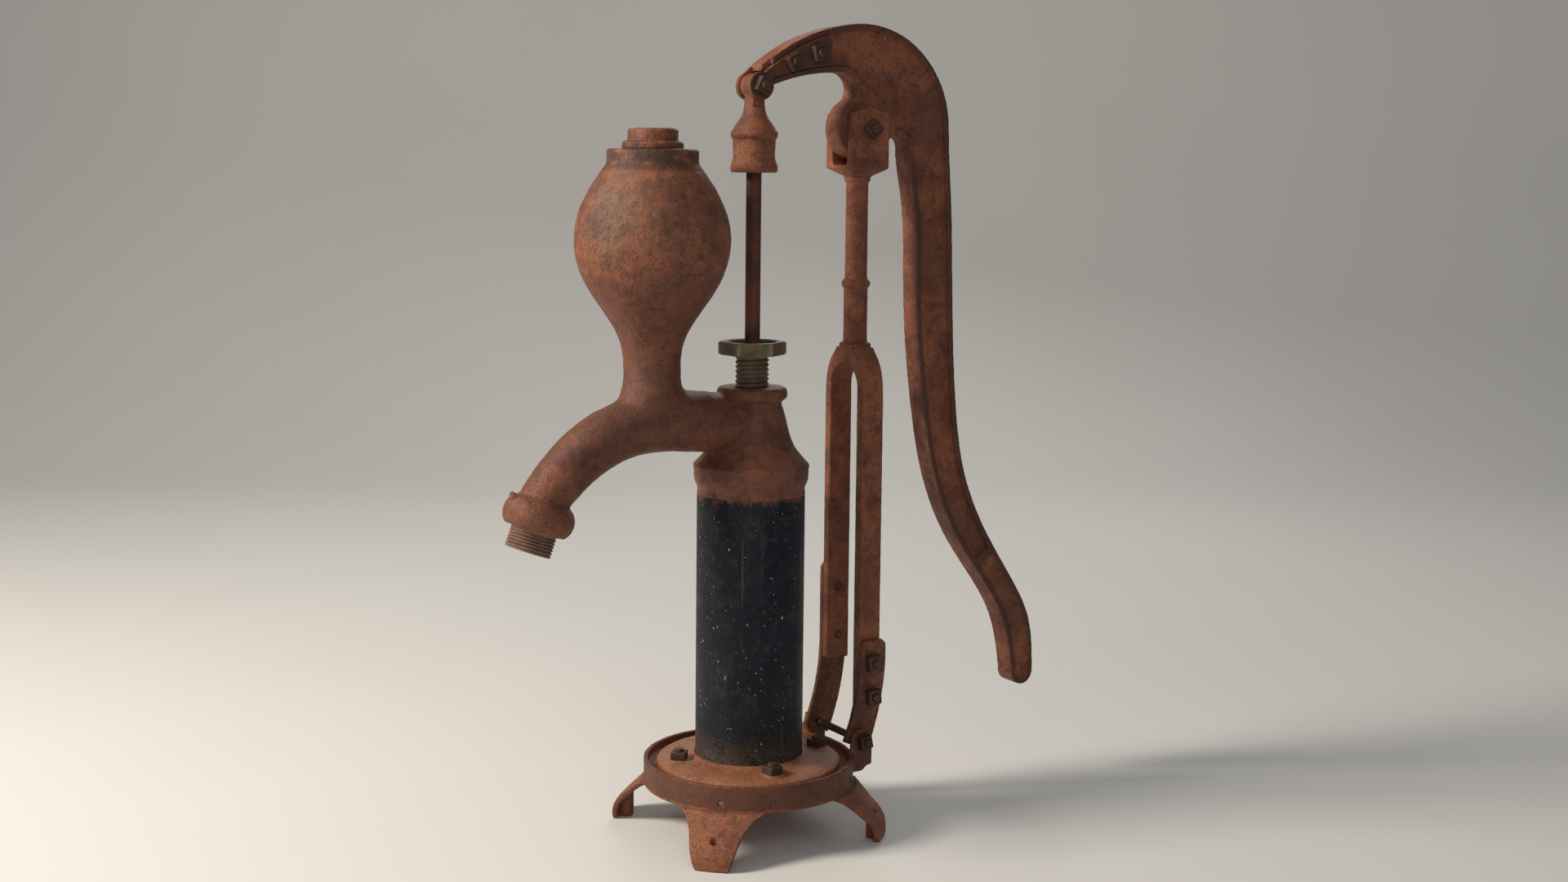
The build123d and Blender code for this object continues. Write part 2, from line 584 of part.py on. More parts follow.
# ---------------------------------------------------------------- head casting
SPOUT_END = (SPOUT_END_X, BARREL_TOP - SPOUT_END_DROP)
NOZZLE_DIR = (-math.sin(math.radians(SPOUT_TILT)), -math.cos(math.radians(SPOUT_TILT)))
ARM_Z = BARREL_TOP + ARM_RISE
VESSEL_Z = BARREL_TOP + VESSEL_BASE_RISE
VESSEL_TOP = VESSEL_Z + VESSEL_TOP_RISE


def nozzle_plane():
    """Plane at the nozzle's lower face, with its normal pointing out of the nozzle."""
    return Plane(origin=(SPOUT_END[0], 0, SPOUT_END[1]), x_dir=(0, 1, 0),
                 z_dir=(NOZZLE_DIR[0], 0, NOZZLE_DIR[1]))


def bell(inset):
    """The turned part of the head: skirt, shoulder, bell and stuffing box neck."""
    def at(radius, rise):
        return (radius - inset, BARREL_TOP + rise)

    skirt = Spline(at(BARREL_R + 0.7, 0), at(BARREL_R + 0.9, 10.0), at(BARREL_R + 2.6, 14.0),
                   at(SKIRT_R - 1.2, 22.0), at(SKIRT_R, SKIRT_HEIGHT))
    shoulder = Spline(at(SKIRT_R, SKIRT_HEIGHT), at(SKIRT_R - 5, SKIRT_HEIGHT + 4.7), at(45.2, 50.4),
                      at(38.9, 67.7), at(BELL_TOP_R, BELL_HEIGHT))
    close = Polyline(at(BELL_TOP_R, BELL_HEIGHT), (0, BARREL_TOP + BELL_HEIGHT), (0, BARREL_TOP),
                     at(BARREL_R + 0.7, 0))
    return spun_curve(skirt + shoulder + close)


def spout_path():
    """Centreline of the waterway with its outer radius at each place, from the bell to the nozzle."""
    end_x, end_z = SPOUT_END
    top_x = end_x - COLLAR_HEIGHT * NOZZLE_DIR[0]
    top_z = end_z - COLLAR_HEIGHT * NOZZLE_DIR[1]
    span = VESSEL_X - top_x
    fall = ARM_Z + 3 - top_z
    return [(-18.0, ARM_Z - 4.0, ARM_R), (-70.0, ARM_Z + 0.5, ARM_R), (VESSEL_X, ARM_Z + 2.0, ARM_R - 0.6),
            (VESSEL_X - 0.42 * span, ARM_Z + 3 - 0.19 * fall, ARM_R - 3.0),
            (VESSEL_X - 0.76 * span, ARM_Z + 3 - 0.56 * fall, SPOUT_R + 1.5), (top_x, top_z, SPOUT_R)]


def waterway(inset):
    """Arm and spout as one loft of circles along the centreline."""
    stations = spout_path()
    sections = []
    for index, (x, z, radius) in enumerate(stations):
        before = stations[max(index - 1, 0)]
        after = stations[min(index + 1, len(stations) - 1)]
        direction = (after[0] - before[0], 0, after[1] - before[1])
        if index == len(stations) - 1:
            direction = (NOZZLE_DIR[0], 0, NOZZLE_DIR[1])
        plane = Plane(origin=(x, 0, z), x_dir=(0, 1, 0), z_dir=direction)
        sections.append(plane * Circle(radius - inset))
    return loft(sections)


def vessel_points():
    """The vessel's outline from its neck to the foot of its rim.

    Each pair is a share of the height and of the bulge between the two radii that bound it."""
    low, high = VESSEL_Z, VESSEL_Z + VESSEL_BELLY_RISE
    rim = VESSEL_TOP - VESSEL_RIM_HEIGHT
    below = [(0.17, 0.0), (0.31, 0.056), (0.467, 0.289), (0.553, 0.475), (0.639, 0.659),
             (0.725, 0.806), (0.839, 0.938), (1.0, 1.0)]
    above = [(0.134, 0.979), (0.309, 0.896), (0.49, 0.74), (0.667, 0.532), (0.843, 0.278), (1.0, 0.03)]
    points = [(NECK_R + 4.5, low - 4), (NECK_R + 1.0, low + 8)]
    points += [(NECK_R + bulge * (VESSEL_R - NECK_R), low + share * (high - low)) for share, bulge in below]
    points += [(VESSEL_RIM_R + bulge * (VESSEL_R - VESSEL_RIM_R), high + share * (rim - high))
               for share, bulge in above]
    return points


def drawn_in(points, inset):
    """The same outline moved towards its inner side, square to its run at each point."""
    moved = []
    for index, (radius, height) in enumerate(points):
        before = points[max(index - 1, 0)]
        after = points[min(index + 1, len(points) - 1)]
        run = math.dist(before, after)
        moved.append((radius - inset * (after[1] - before[1]) / run, height + inset * (after[0] - before[0]) / run))
    return moved


def vessel(inset):
    """Air vessel: neck, onion-shaped belly and rim, turned about its own axis."""
    points = drawn_in(vessel_points(), inset)
    low, high = points[0], points[-1]
    foot = VESSEL_Z - 30.0
    if inset:
        close = Polyline(high, (0, high[1]), (0, foot), (low[0], foot), low)
    else:
        close = Polyline(high, (VESSEL_RIM_R, high[1] + 2.0), (VESSEL_RIM_R, VESSEL_TOP - 2.0),
                         (VESSEL_RIM_R - 2.0, VESSEL_TOP), (0, VESSEL_TOP), (0, foot), (NECK_R - 2, foot), low)
    return Pos(VESSEL_X, 0, 0) * spun_curve(Spline(*points) + close)


def nozzle_collar():
    """Bulged cup round the spout's mouth, with a small hook on its upper edge."""
    height = COLLAR_HEIGHT
    side = Spline((SPOUT_R + 0.5, -height), (COLLAR_R - 2.5, -0.77 * height), (COLLAR_R, -0.45 * height),
                  (COLLAR_R - 2.0, -0.16 * height), (COLLAR_R - 6.0, 0))
    close = Polyline((COLLAR_R - 6.0, 0), (0, 0), (0, -height), (SPOUT_R + 0.5, -height))
    cup = spun_curve(side + close)
    reach = COLLAR_R - 2.0
    hook = make_face(Polyline((reach - HOOK_SIZE, -0.8 * height), (reach - 1, -0.45 * height),
                              (reach + 2.0, -0.78 * height), (reach + 3.0, -height),
                              (reach - 0.4 * HOOK_SIZE, -height + 1), close=True))
    cup += extrude(Plane.XZ * hook, HOOK_SIZE / 2, both=True)
    return nozzle_plane().location * Rot(0, 0, 90) * cup


def box_flange():
    """The stuffing box's thick flange with its rounded edge."""
    low = BARREL_TOP + BELL_HEIGHT
    under = low + BOX_NECK
    turn = BOX_FLANGE_ROUND
    middle = BOX_FLANGE_R - turn
    edge = arc((middle, under + turn), turn, -90, 0)
    edge += Line((BOX_FLANGE_R, under + turn), (BOX_FLANGE_R, BOX_TOP - turn))
    edge += arc((middle, BOX_TOP - turn), turn, 0, 90)
    edge += Polyline((middle, BOX_TOP), (0, BOX_TOP), (0, low - 1), (BELL_TOP_R, low - 1), (BELL_TOP_R, low), (middle, under))
    return spun_curve(edge)


def head_casting():
    """Bell, arm, spout and air vessel in one hollow casting, with the stuffing box on top."""
    body = bell(0.0)
    body += disc(BORE_R - RUNNING_GAP, BARREL_TOP - SPIGOT_DEPTH, BARREL_TOP + 1)
    body += box_flange()
    body += waterway(0.0)
    body += vessel(0.0)
    body += nozzle_collar()
    ceiling = PACKING_BOTTOM - BOX_FLOOR
    hollow = spun((0, BARREL_TOP - SPIGOT_DEPTH), (BORE_R - HEAD_WALL, BARREL_TOP - SPIGOT_DEPTH),
                  (BORE_R - HEAD_WALL, BARREL_TOP + SKIRT_HEIGHT), (30.0, ceiling - 12), (24.0, ceiling), (0, ceiling))
    hollow += waterway(HEAD_WALL)
    hollow += vessel(VESSEL_WALL)
    hollow += Pos(VESSEL_X, 0, 0) * disc(VESSEL_MOUTH_R, VESSEL_TOP - 40, VESSEL_TOP)
    mouth = nozzle_plane() * Circle(NIPPLE_R - NIPPLE_RELIEF_DEPTH + RUNNING_GAP)
    hollow += extrude(mouth, -NIPPLE_IN)
    throat = nozzle_plane() * Circle(SPOUT_R - HEAD_WALL + 1.0)
    hollow += extrude(throat, -COLLAR_HEIGHT - 5.0)
    body -= hollow
    body -= disc(BOX_BORE_R, PACKING_BOTTOM, BOX_TOP)
    return body - disc(ROD_R + RUNNING_GAP, ceiling - 1, PACKING_BOTTOM)


def vessel_plug():
    """Threaded plug that closes the vessel's mouth."""
    step = VESSEL_TOP + PLUG_FLANGE_THICK
    top = step + PLUG_CAP_HEIGHT
    stem = VESSEL_MOUTH_R - RUNNING_GAP
    return Pos(VESSEL_X, 0, 0) * spun(
        (0, VESSEL_TOP - PLUG_STEM), (stem, VESSEL_TOP - PLUG_STEM), (stem, VESSEL_TOP),
        (PLUG_FLANGE_R, VESSEL_TOP), (PLUG_FLANGE_R, step - 2), (PLUG_FLANGE_R - 2, step),
        (PLUG_CAP_R, step), (PLUG_CAP_R, top - 2.5), (PLUG_CAP_R - 2.5, top), (0, top))


def spout_nipple():
    """Short pipe in the collar; its thread starts a little below the collar's face."""
    bore = Circle(NIPPLE_R - NIPPLE_WALL)
    plain = extrude(nozzle_plane() * (Circle(NIPPLE_R - NIPPLE_RELIEF_DEPTH) - bore), NIPPLE_RELIEF)
    plain += extrude(nozzle_plane() * (Circle(NIPPLE_R - NIPPLE_RELIEF_DEPTH) - bore), -NIPPLE_IN)
    thread = nozzle_plane().offset(NIPPLE_RELIEF) * (Circle(NIPPLE_R) - bore)
    return plain + extrude(thread, NIPPLE_OUT - NIPPLE_RELIEF)


def packing_rings():
    rings = []
    for index in range(PACKING_RING_COUNT):
        low = PACKING_BOTTOM + index * PACKING_RING_HEIGHT
        rings.append(disc(GLAND_THREAD_R, low, low + PACKING_RING_HEIGHT, hole=ROD_R + RUNNING_GAP))
    return rings


def gland_follower():
    return disc(GLAND_THREAD_R, PACKING_TOP, FOLLOWER_TOP, hole=ROD_R + SIDE_GAP)


def gland_nut():
    """Hexagon with an oil cup on top and a long threaded sleeve below."""
    low = FOLLOWER_TOP + SEAT_GAP
    top = GLAND_HEAD_BOTTOM + GLAND_HEAD_THICK
    nut = disc(GLAND_THREAD_R, low, top)
    nut += Pos(0, 0, GLAND_HEAD_BOTTOM) * extrude(RegularPolygon(GLAND_HEAD_CORNERS / 2, 6), GLAND_HEAD_THICK)
    nut -= disc(GLAND_CUP_R, top - GLAND_CUP_DEPTH, top)
    return nut - disc(ROD_R + SIDE_GAP, low, top)


# ---------------------------------------------------------------- lever
def station_edges(inset):
    """Points of the long arm's outer and inner edges, each square to the arm's run."""
    middle = [(FULCRUM[0] + reach, FULCRUM[1] - drop) for drop, reach, _ in ARM_STATIONS]
    outer, inner = [], []
    for index, (x, z) in enumerate(middle):
        before = middle[max(index - 1, 0)]
        after = middle[min(index + 1, len(middle) - 1)]
        length = math.dist(before, after)
        side = ((before[1] - after[1]) / length, (after[0] - before[0]) / length)
        half = ARM_STATIONS[index][2] / 2 - inset
        outer.append((x + half * side[0], z + half * side[1]))
        inner.append((x - half * side[0], z - half * side[1]))
    return outer, inner


def crown_joint():
    """Centre and radius of the front arm's back: tangent to the crown arc and round the tip."""
    angle = math.radians(CROWN_START)
    toward = (PIN[0] - FULCRUM[0], PIN[1] - FULCRUM[1])
    along = toward[0] * math.cos(angle) + toward[1] * math.sin(angle)
    spare = CROWN_R - TIP_R
    growth = (LEVER_ARM ** 2 - spare ** 2) / (2 * (spare - along))
    center = (FULCRUM[0] - growth * math.cos(angle), FULCRUM[1] - growth * math.sin(angle))
    return center, CROWN_R + growth


def hook_center():
    """The throat's arc touches the hub from outside, level with the pin."""
    reach = HUB_R + NECK_HOOK_R
    rise = PIN[1] - FULCRUM[1]
    return (FULCRUM[0] - math.sqrt(reach ** 2 - rise ** 2), PIN[1])


def circle_through(first, second, third):
    """Centre and radius of the circle through three points."""
    ax, az = first
    bx, bz = second
    cx, cz = third
    d = 2 * (ax * (bz - cz) + bx * (cz - az) + cx * (az - bz))
    a2, b2, c2 = ax * ax + az * az, bx * bx + bz * bz, cx * cx + cz * cz
    center = ((a2 * (bz - cz) + b2 * (cz - az) + c2 * (az - bz)) / d,
              (a2 * (cx - bx) + b2 * (ax - cx) + c2 * (bx - ax)) / d)
    return center, math.dist(center, first)


def circles_meet(first, first_r, second, second_r):
    """Where two circles cross, to the left of the line from the first centre to the second."""
    gap = math.dist(first, second)
    along = (gap ** 2 + first_r ** 2 - second_r ** 2) / (2 * gap)
    aside = math.sqrt(first_r ** 2 - along ** 2)
    unit = ((second[0] - first[0]) / gap, (second[1] - first[1]) / gap)
    return (first[0] + along * unit[0] - aside * unit[1], first[1] + along * unit[1] + aside * unit[0])


THROAT_END = 97.0       # degrees, where the throat's arc meets the front arm's underside
TIP_UNDER = 5.0         # degrees, where that underside meets the tip's round end


def under_joint():
    """Centre, radius and two ends of the front arm's hollow underside."""
    start = polar(PIN, TIP_R, TIP_UNDER)
    end = polar(hook_center(), NECK_HOOK_R, THROAT_END)
    middle = ((start[0] + end[0]) / 2, PIN[1] + UNDER_RISE)
    center, radius = circle_through(start, middle, end)
    return center, radius, start, end


def fork_bolt_spots():
    """The fork bolts lie midway between the front arm's back and its underside."""
    back_center, back_r = crown_joint()
    under_center, under_r, _, _ = under_joint()
    spots = []
    for reach in FORK_BOLT_REACHES:
        back = circles_meet(PIN, reach, back_center, back_r)
        under = circles_meet(PIN, reach, under_center, under_r)
        angle = (angle_to(PIN, back) + angle_to(PIN, under)) / 2
        spots.append(polar(PIN, reach, angle))
    return spots


def lever_outline(inset=0.0):
    """The lever's side outline, or the same outline drawn inside it by an inset."""
    back_center, back_r = crown_joint()
    hook = hook_center()
    notch = polar(FULCRUM, HUB_R + NOTCH_R, NOTCH_ANGLE)
    under_center, under_r, under_start, _ = under_joint()
    tip_angle = angle_to(back_center, PIN)
    outer, inner = station_edges(inset)
    crown_end = polar(FULCRUM, CROWN_R - inset, -1.0)
    throat = NECK_HOOK_R + inset
    hub = HUB_R - inset
    meet_throat = angle_to(FULCRUM, hook)
    meet_notch = NOTCH_ANGLE
    last = ARM_STATIONS[-1]
    cap = (FULCRUM[0] + last[1] + 2.0, FULCRUM[1] - last[0] - GRIP_CAP + inset)
    under_from = polar(under_center, under_r + inset, angle_to(under_center, under_start))
    under_to = polar(hook, throat, THROAT_END)
    under_mid = polar(under_center, under_r + inset,
                      angle_to(under_center, ((under_from[0] + under_to[0]) / 2, PIN[1] + UNDER_RISE)))
    back_start = polar(back_center, back_r - inset, tip_angle)
    curve = arc(back_center, back_r - inset, tip_angle, CROWN_START)
    curve += arc(FULCRUM, CROWN_R - inset, CROWN_START, -1.0)
    curve += Spline(crown_end, *outer, tangents=[(0.02, -1), (0.0, -1)], tangent_scalars=[1.0, 0.5])
    curve += ThreePointArc(outer[-1], cap, inner[-1])
    notch_side = (notch[0] + NOTCH_R + inset, notch[1])
    curve += Spline(*reversed(inner), notch_side, tangents=[(-0.0, 1), (0.0, 1)], tangent_scalars=[0.5, 1.0])
    curve += arc(notch, NOTCH_R + inset, 0.0, 180.0 + meet_notch)
    curve += arc(FULCRUM, hub, meet_notch, meet_throat - 360.0)
    curve += arc(hook, throat, meet_throat - 180.0, THROAT_END)
    curve += ThreePointArc(under_to, under_mid, under_from)
    curve += ThreePointArc(under_from, polar(PIN, TIP_R - inset, (tip_angle - 360 + TIP_UNDER) / 2), back_start)
    return make_face(curve)


def loop_offset(swing):
    """Where the post's bolt lies from the lever's fulcrum, in the lever's frame, at one swing.

    The rod and the post move in even proportion to the lever, so the bolt strays a little."""
    turn = math.radians(swing)
    share = swing / LEVER_SWING
    rest = (LEVER_ARM * math.cos(LIFT), -LEVER_ARM * math.sin(LIFT))
    end_turn = math.radians(LEVER_SWING)
    end = (LEVER_ARM * math.cos(LIFT - end_turn), -LEVER_ARM * math.sin(LIFT - end_turn))
    now = (LEVER_ARM * math.cos(LIFT - turn), -LEVER_ARM * math.sin(LIFT - turn))
    rod_drop = share * (end[1] - rest[1])
    bolt = (rest[0] + share * (end[0] - rest[0]), rest[1])
    stray = (bolt[0] - now[0], bolt[1] - (now[1] - rod_drop))
    return (stray[0] * math.cos(turn) + stray[1] * math.sin(turn),
            -stray[0] * math.sin(turn) + stray[1] * math.cos(turn))


def fulcrum_slot():
    """The lever's slotted fulcrum hole, just long enough for the stray of the bolt."""
    slot_r = PIVOT_BOLT_R + 2.6
    far = loop_offset(LEVER_SWING / 2)
    length = math.hypot(*far)
    spin = math.degrees(math.atan2(far[1], far[0]))
    face = Pos(*FULCRUM) * Rot(0, 0, spin) * (
        Pos(length / 2, 0) * Rectangle(length, 2 * slot_r) + Circle(slot_r) + Pos(length, 0) * Circle(slot_r))
    return slab(face, -HUB_THICK, HUB_THICK)


def band_face():
    """The cross rib between the long arm's panel and the grip's panel."""
    spots = [(FULCRUM[0] + reach, FULCRUM[1] - drop) for drop, reach, _ in ARM_STATIONS]
    low = next(index for index, station in enumerate(ARM_STATIONS) if station[0] > BAND_STATION)
    start, end = spots[low - 1], spots[low]
    share = (BAND_STATION - ARM_STATIONS[low - 1][0]) / (ARM_STATIONS[low][0] - ARM_STATIONS[low - 1][0])
    place = (start[0] + share * (end[0] - start[0]), start[1] + share * (end[1] - start[1]))
    run = math.degrees(math.atan2(end[1] - start[1], end[0] - start[0]))
    return place, run


def lever():
    """Curved I-section lever: hub between the post's ears, fork at the crosshead, grip below."""
    half = LEVER_THICK / 2
    body = slab(lever_outline(), -half, half)
    body += bar_y(PIN, TIP_R, EYE_SLOT, SIDE_PLATE_OUTER)
    body += bar_y(FULCRUM, HUB_R, -HUB_THICK / 2, HUB_THICK / 2)
    place, run = band_face()
    pad = Pos(*polar(FULCRUM, HUB_PAD_REACH - HUB_PAD_R, HUB_PAD_ANGLE)) * Circle(HUB_PAD_R)
    panel = lever_outline(LEVER_RIM) - pad
    band = Pos(*place) * Rot(0, 0, run) * Rectangle(BAND_WIDTH, 2 * LEVER_THICK * 2)
    grip_side = Pos(*place) * Rot(0, 0, run) * Pos(CROWN_R * 1.25, 0) * Rectangle(CROWN_R * 2.5, CROWN_R * 2)
    grip_panel = (panel & grip_side) - band
    arm_panel = panel - grip_side - band
    far_panel = arm_panel - Pos(*PIN) * Circle(TIP_R + 3.0)
    body -= slab(far_panel, EYE_SLOT, half)
    near_panel = arm_panel + Pos(*PIN) * Circle(TIP_R + 1.5)
    body -= slab(near_panel, -half, -EYE_SLOT)
    for y_low, y_high in ((half - GRIP_PANEL_DEPTH, half), (-half, -half + GRIP_PANEL_DEPTH)):
        body -= slab(grip_panel, y_low, y_high)
    near_front = Pos(PIN[0] + FLANGE_END_X - CROWN_R / 2, PIN[1]) * Rectangle(CROWN_R, 4 * TIP_R)
    body -= slab(near_front, -half - 1, -EYE_SLOT)
    slot = Pos(*PIN) * Circle(CROSSHEAD_EYE_R + 3.0)
    slot += Pos(PIN[0] + 3.0 - CROWN_R / 2, PIN[1]) * Rectangle(CROWN_R, 4 * TIP_R)
    slot += Pos(PIN[0], PIN[1] - TIP_R) * Rectangle(2 * 13.0, 2 * TIP_R)
    body -= slab(slot, -EYE_SLOT, EYE_SLOT)
    body -= fulcrum_slot()
    body -= bar_y(PIN, PIVOT_BOLT_R, 0, 2 * LEVER_THICK)
    for place in fork_bolt_spots():
        body -= bar_y(place, BOLT_R, -LEVER_THICK, LEVER_THICK)
    return body


def side_plate():
    """The fork's near cheek: a plate bolted into the lever's near panel."""
    face = lever_outline(LEVER_RIM + SIDE_PLATE_GAP)
    end = Pos(PIN[0] + SIDE_PLATE_END - CROWN_R, PIN[1]) * Rectangle(2 * CROWN_R, 2 * CROWN_R)
    face = face & end
    face = fillet(face.vertices().sort_by(Axis.X)[-2:], SIDE_PLATE_CORNER_R)
    face += Pos(*PIN) * Circle(TIP_R)
    plate = slab(face, -SIDE_PLATE_OUTER, -EYE_SLOT)
    plate -= bar_y(PIN, PIVOT_BOLT_R, -SIDE_PLATE_OUTER, 0)
    for place in fork_bolt_spots():
        plate -= bar_y(place, BOLT_R, -SIDE_PLATE_OUTER, 0)
    return plate


def through_bolt(place, radius, y_head, y_nut, side, thick=HEAD_THICK, turn=0.0):
    """A bolt along Y: square head at +Y, plain end past its nut at -Y."""
    bolt = bar_y(place, radius, y_nut - NUT_THICK - BOLT_END, y_head)
    return bolt + square_y(place, side, y_head, y_head + thick, turn)


def fork_bolts():
    """Round-headed bolts: the heads lie in the lever's far panel."""
    bolts = []
    for place in fork_bolt_spots():
        bolt = bar_y(place, BOLT_R, -SIDE_PLATE_OUTER - NUT_THICK - BOLT_END, EYE_SLOT)
        bolts.append(bolt + bar_y(place, CARRIAGE_HEAD_R - 0.5, EYE_SLOT, EYE_SLOT + CARRIAGE_HEAD_THICK))
    return bolts


def fork_nuts():
    turns = (28.0, 8.0)
    return [nut_y(place, NUT_SIDE, BOLT_R, -SIDE_PLATE_OUTER - NUT_THICK, -SIDE_PLATE_OUTER, turns[index % 2])
            for index, place in enumerate(fork_bolt_spots())]


# ---------------------------------------------------------------- post
def ear_outline():
    """An ear seen from its side: upright edges, round corners and a slightly arched top."""
    half = EAR_WIDTH / 2
    side = EAR_RISE - EAR_CROWN_DROP
    curve = ThreePointArc((half, side), (0, EAR_RISE), (-half, side))
    curve += Polyline((-half, side), (-half, -EAR_DEPTH), (half, -EAR_DEPTH), (half, side))
    face = make_face(curve)
    return Pos(*FULCRUM) * fillet(face.vertices().sort_by(Axis.Y)[-2:], EAR_CORNER_R)


def fulcrum_post():
    """Clevis, turned shank with a ring and a bead, and a yoke of two flat tines."""
    x, z = FULCRUM
    clevis = slab(ear_outline(), -CLEVIS_Y, CLEVIS_Y)
    shoulder_low = EAR_DEPTH + SHOULDER
    neck = RING_R - 0.7
    top_face = Plane(origin=(x, 0, z - EAR_DEPTH)) * Rectangle(EAR_WIDTH, 2 * CLEVIS_Y)
    low_face = Plane(origin=(x, 0, z - shoulder_low)) * RectangleRounded(2 * neck, 2 * neck, neck - 0.5)
    clevis += loft([low_face, top_face])
    slot = Pos(0, (EAR_WIDTH - SLOT_DEPTH) / 2) * RectangleRounded(CLEVIS_GAP, EAR_WIDTH + SLOT_DEPTH, SLOT_CORNER_R)
    clevis -= Pos(x - EAR_WIDTH, 0, z) * extrude(Plane.YZ * slot, 2 * EAR_WIDTH)
    yoke_top = YOKE_ARCH_DROP - 12.0
    profile = [(0, -shoulder_low), (neck, -shoulder_low), (RING_R, -shoulder_low - 0.3 * RING_HEIGHT),
               (RING_R, -shoulder_low - 0.7 * RING_HEIGHT), (POST_R, -shoulder_low - RING_HEIGHT),
               (POST_R, -POST_BEAD_DROP + POST_BEAD_HEIGHT / 2), (POST_BEAD_R, -POST_BEAD_DROP + 2),
               (POST_BEAD_R, -POST_BEAD_DROP - 2), (POST_LOWER_R, -POST_BEAD_DROP - POST_BEAD_HEIGHT / 2),
               (POST_LOWER_R, -POST_COLLAR_DROP), (POST_COLLAR_R, -POST_COLLAR_DROP - 2),
               (POST_COLLAR_R, -POST_COLLAR_DROP - POST_COLLAR_HEIGHT), (POST_R, -yoke_top), (0, -yoke_top)]
    body = clevis + Pos(x, 0, z) * spun(*profile)
    inner = TINE_GAP / 2
    outer = TINE_OUTER_Y
    crown = YOKE_ARCH_DROP + TINE_GAP / 2
    start = POST_COLLAR_DROP + POST_COLLAR_HEIGHT - 1
    right = Spline((POST_COLLAR_R - 1, -start), (POST_COLLAR_R + 9, -start - 12), (outer, -crown - 10),
                   tangents=[(0.6, -1), (0, -1)])
    left = Spline((-POST_COLLAR_R + 1, -start), (-POST_COLLAR_R - 9, -start - 12), (-outer, -crown - 10),
                  tangents=[(-0.6, -1), (0, -1)])
    far, near = -FAR_TINE_DROP, -NEAR_TINE_DROP
    curve = right + left + Line((POST_COLLAR_R - 1, -start), (-POST_COLLAR_R + 1, -start))
    curve += Polyline((outer, -crown - 10), (outer, far), (inner, far), (inner, -crown))
    curve += Polyline((-outer, -crown - 10), (-outer, near), (-inner, near), (-inner, -crown))
    curve += ThreePointArc((inner, -crown), (0, -YOKE_ARCH_DROP), (-inner, -crown))
    yoke = extrude(Plane.YZ * make_face(curve), TINE_WIDTH / 2, both=True)
    body += Pos(x, 0, z) * yoke
    body -= bar_y(FULCRUM, PIVOT_BOLT_R, -2 * CLEVIS_Y, 2 * CLEVIS_Y)
    for drop in NEAR_BOLT_DROPS:
        body -= bar_y((x, z - drop), STRAP_BOLT_R, -2 * TINE_OUTER_Y, 0)
    for drop in FAR_BOLT_DROPS:
        body -= bar_y((x, z - drop), STRAP_BOLT_R, 0, 2 * TINE_OUTER_Y)
    return body


def strap_face(top_drop):
    """Straight beside the tine, then bent towards the hinge pin."""
    half = STRAP_WIDTH / 2
    top = FULCRUM[1] - top_drop
    bend = HINGE[1] + STRAP_BEND_HEIGHT
    middle = FULCRUM[0] + STRAP_LEAN
    aside = middle - HINGE[0]
    bend_r = (STRAP_BEND_HEIGHT ** 2 + aside ** 2) / (2 * aside)
    sweep = math.degrees(math.asin((STRAP_BEND_HEIGHT + STRAP_TAIL) / bend_r))
    center = (middle - bend_r, bend)
    outer = arc(center, bend_r + half, 0, -sweep)
    inner = arc(center, bend_r - half, 0, -sweep)
    corner = 5.0
    curve = outer + inner + Line(outer @ 1, inner @ 1)
    curve += Polyline((middle + half, bend), (middle + half, top - corner), (middle + half - corner, top),
                      (middle - half + corner, top), (middle - half, top - corner), (middle - half, bend))
    return make_face(curve)


def strap(top_drop, y_low, y_high, bolt_drops):
    plate = slab(strap_face(top_drop), y_low, y_high)
    for drop in bolt_drops:
        plate -= bar_y((FULCRUM[0], FULCRUM[1] - drop), STRAP_BOLT_R, y_low, y_high)
    return plate - bar_y(HINGE, HINGE_BOLT_R + RUNNING_GAP, y_low, y_high)


def near_strap_bolts():
    bolts = []
    for drop in NEAR_BOLT_DROPS:
        place = (FULCRUM[0], FULCRUM[1] - drop)
        bolt = bar_y(place, STRAP_BOLT_R, -STRAP_OUTER_Y - NUT_THICK - BOLT_END, -TINE_INNER_Y)
        bolts.append(bolt + bar_y(place, CARRIAGE_HEAD_R, -TINE_INNER_Y, -TINE_INNER_Y + CARRIAGE_HEAD_THICK))
    return bolts


def near_strap_nuts():
    return [nut_y((FULCRUM[0], FULCRUM[1] - drop), NUT_SIDE, STRAP_BOLT_R, -STRAP_OUTER_Y - NUT_THICK,
                  -STRAP_OUTER_Y, 4.0) for drop in NEAR_BOLT_DROPS]


def far_strap_bolts():
    bolts = []
    for drop in FAR_BOLT_DROPS:
        place = (FULCRUM[0], FULCRUM[1] - drop)
        bolt = bar_y(place, STRAP_BOLT_R, TINE_INNER_Y, STRAP_OUTER_Y + NUT_THICK + BOLT_END)
        bolts.append(bolt + bar_y(place, CARRIAGE_HEAD_R, TINE_INNER_Y - CARRIAGE_HEAD_THICK, TINE_INNER_Y))
    return bolts


def far_strap_nuts():
    return [nut_y((FULCRUM[0], FULCRUM[1] - drop), NUT_SIDE, STRAP_BOLT_R, STRAP_OUTER_Y,
                  STRAP_OUTER_Y + NUT_THICK, 10.0) for drop in FAR_BOLT_DROPS]


# ---------------------------------------------------------------- pivot bolts
def hinge_washers():
    low = LUG_OUTER_Y
    return [slab(Pos(*HINGE) * (Circle(WASHER_R) - Circle(HINGE_BOLT_R)), -low - WASHER_THICK, -low)]


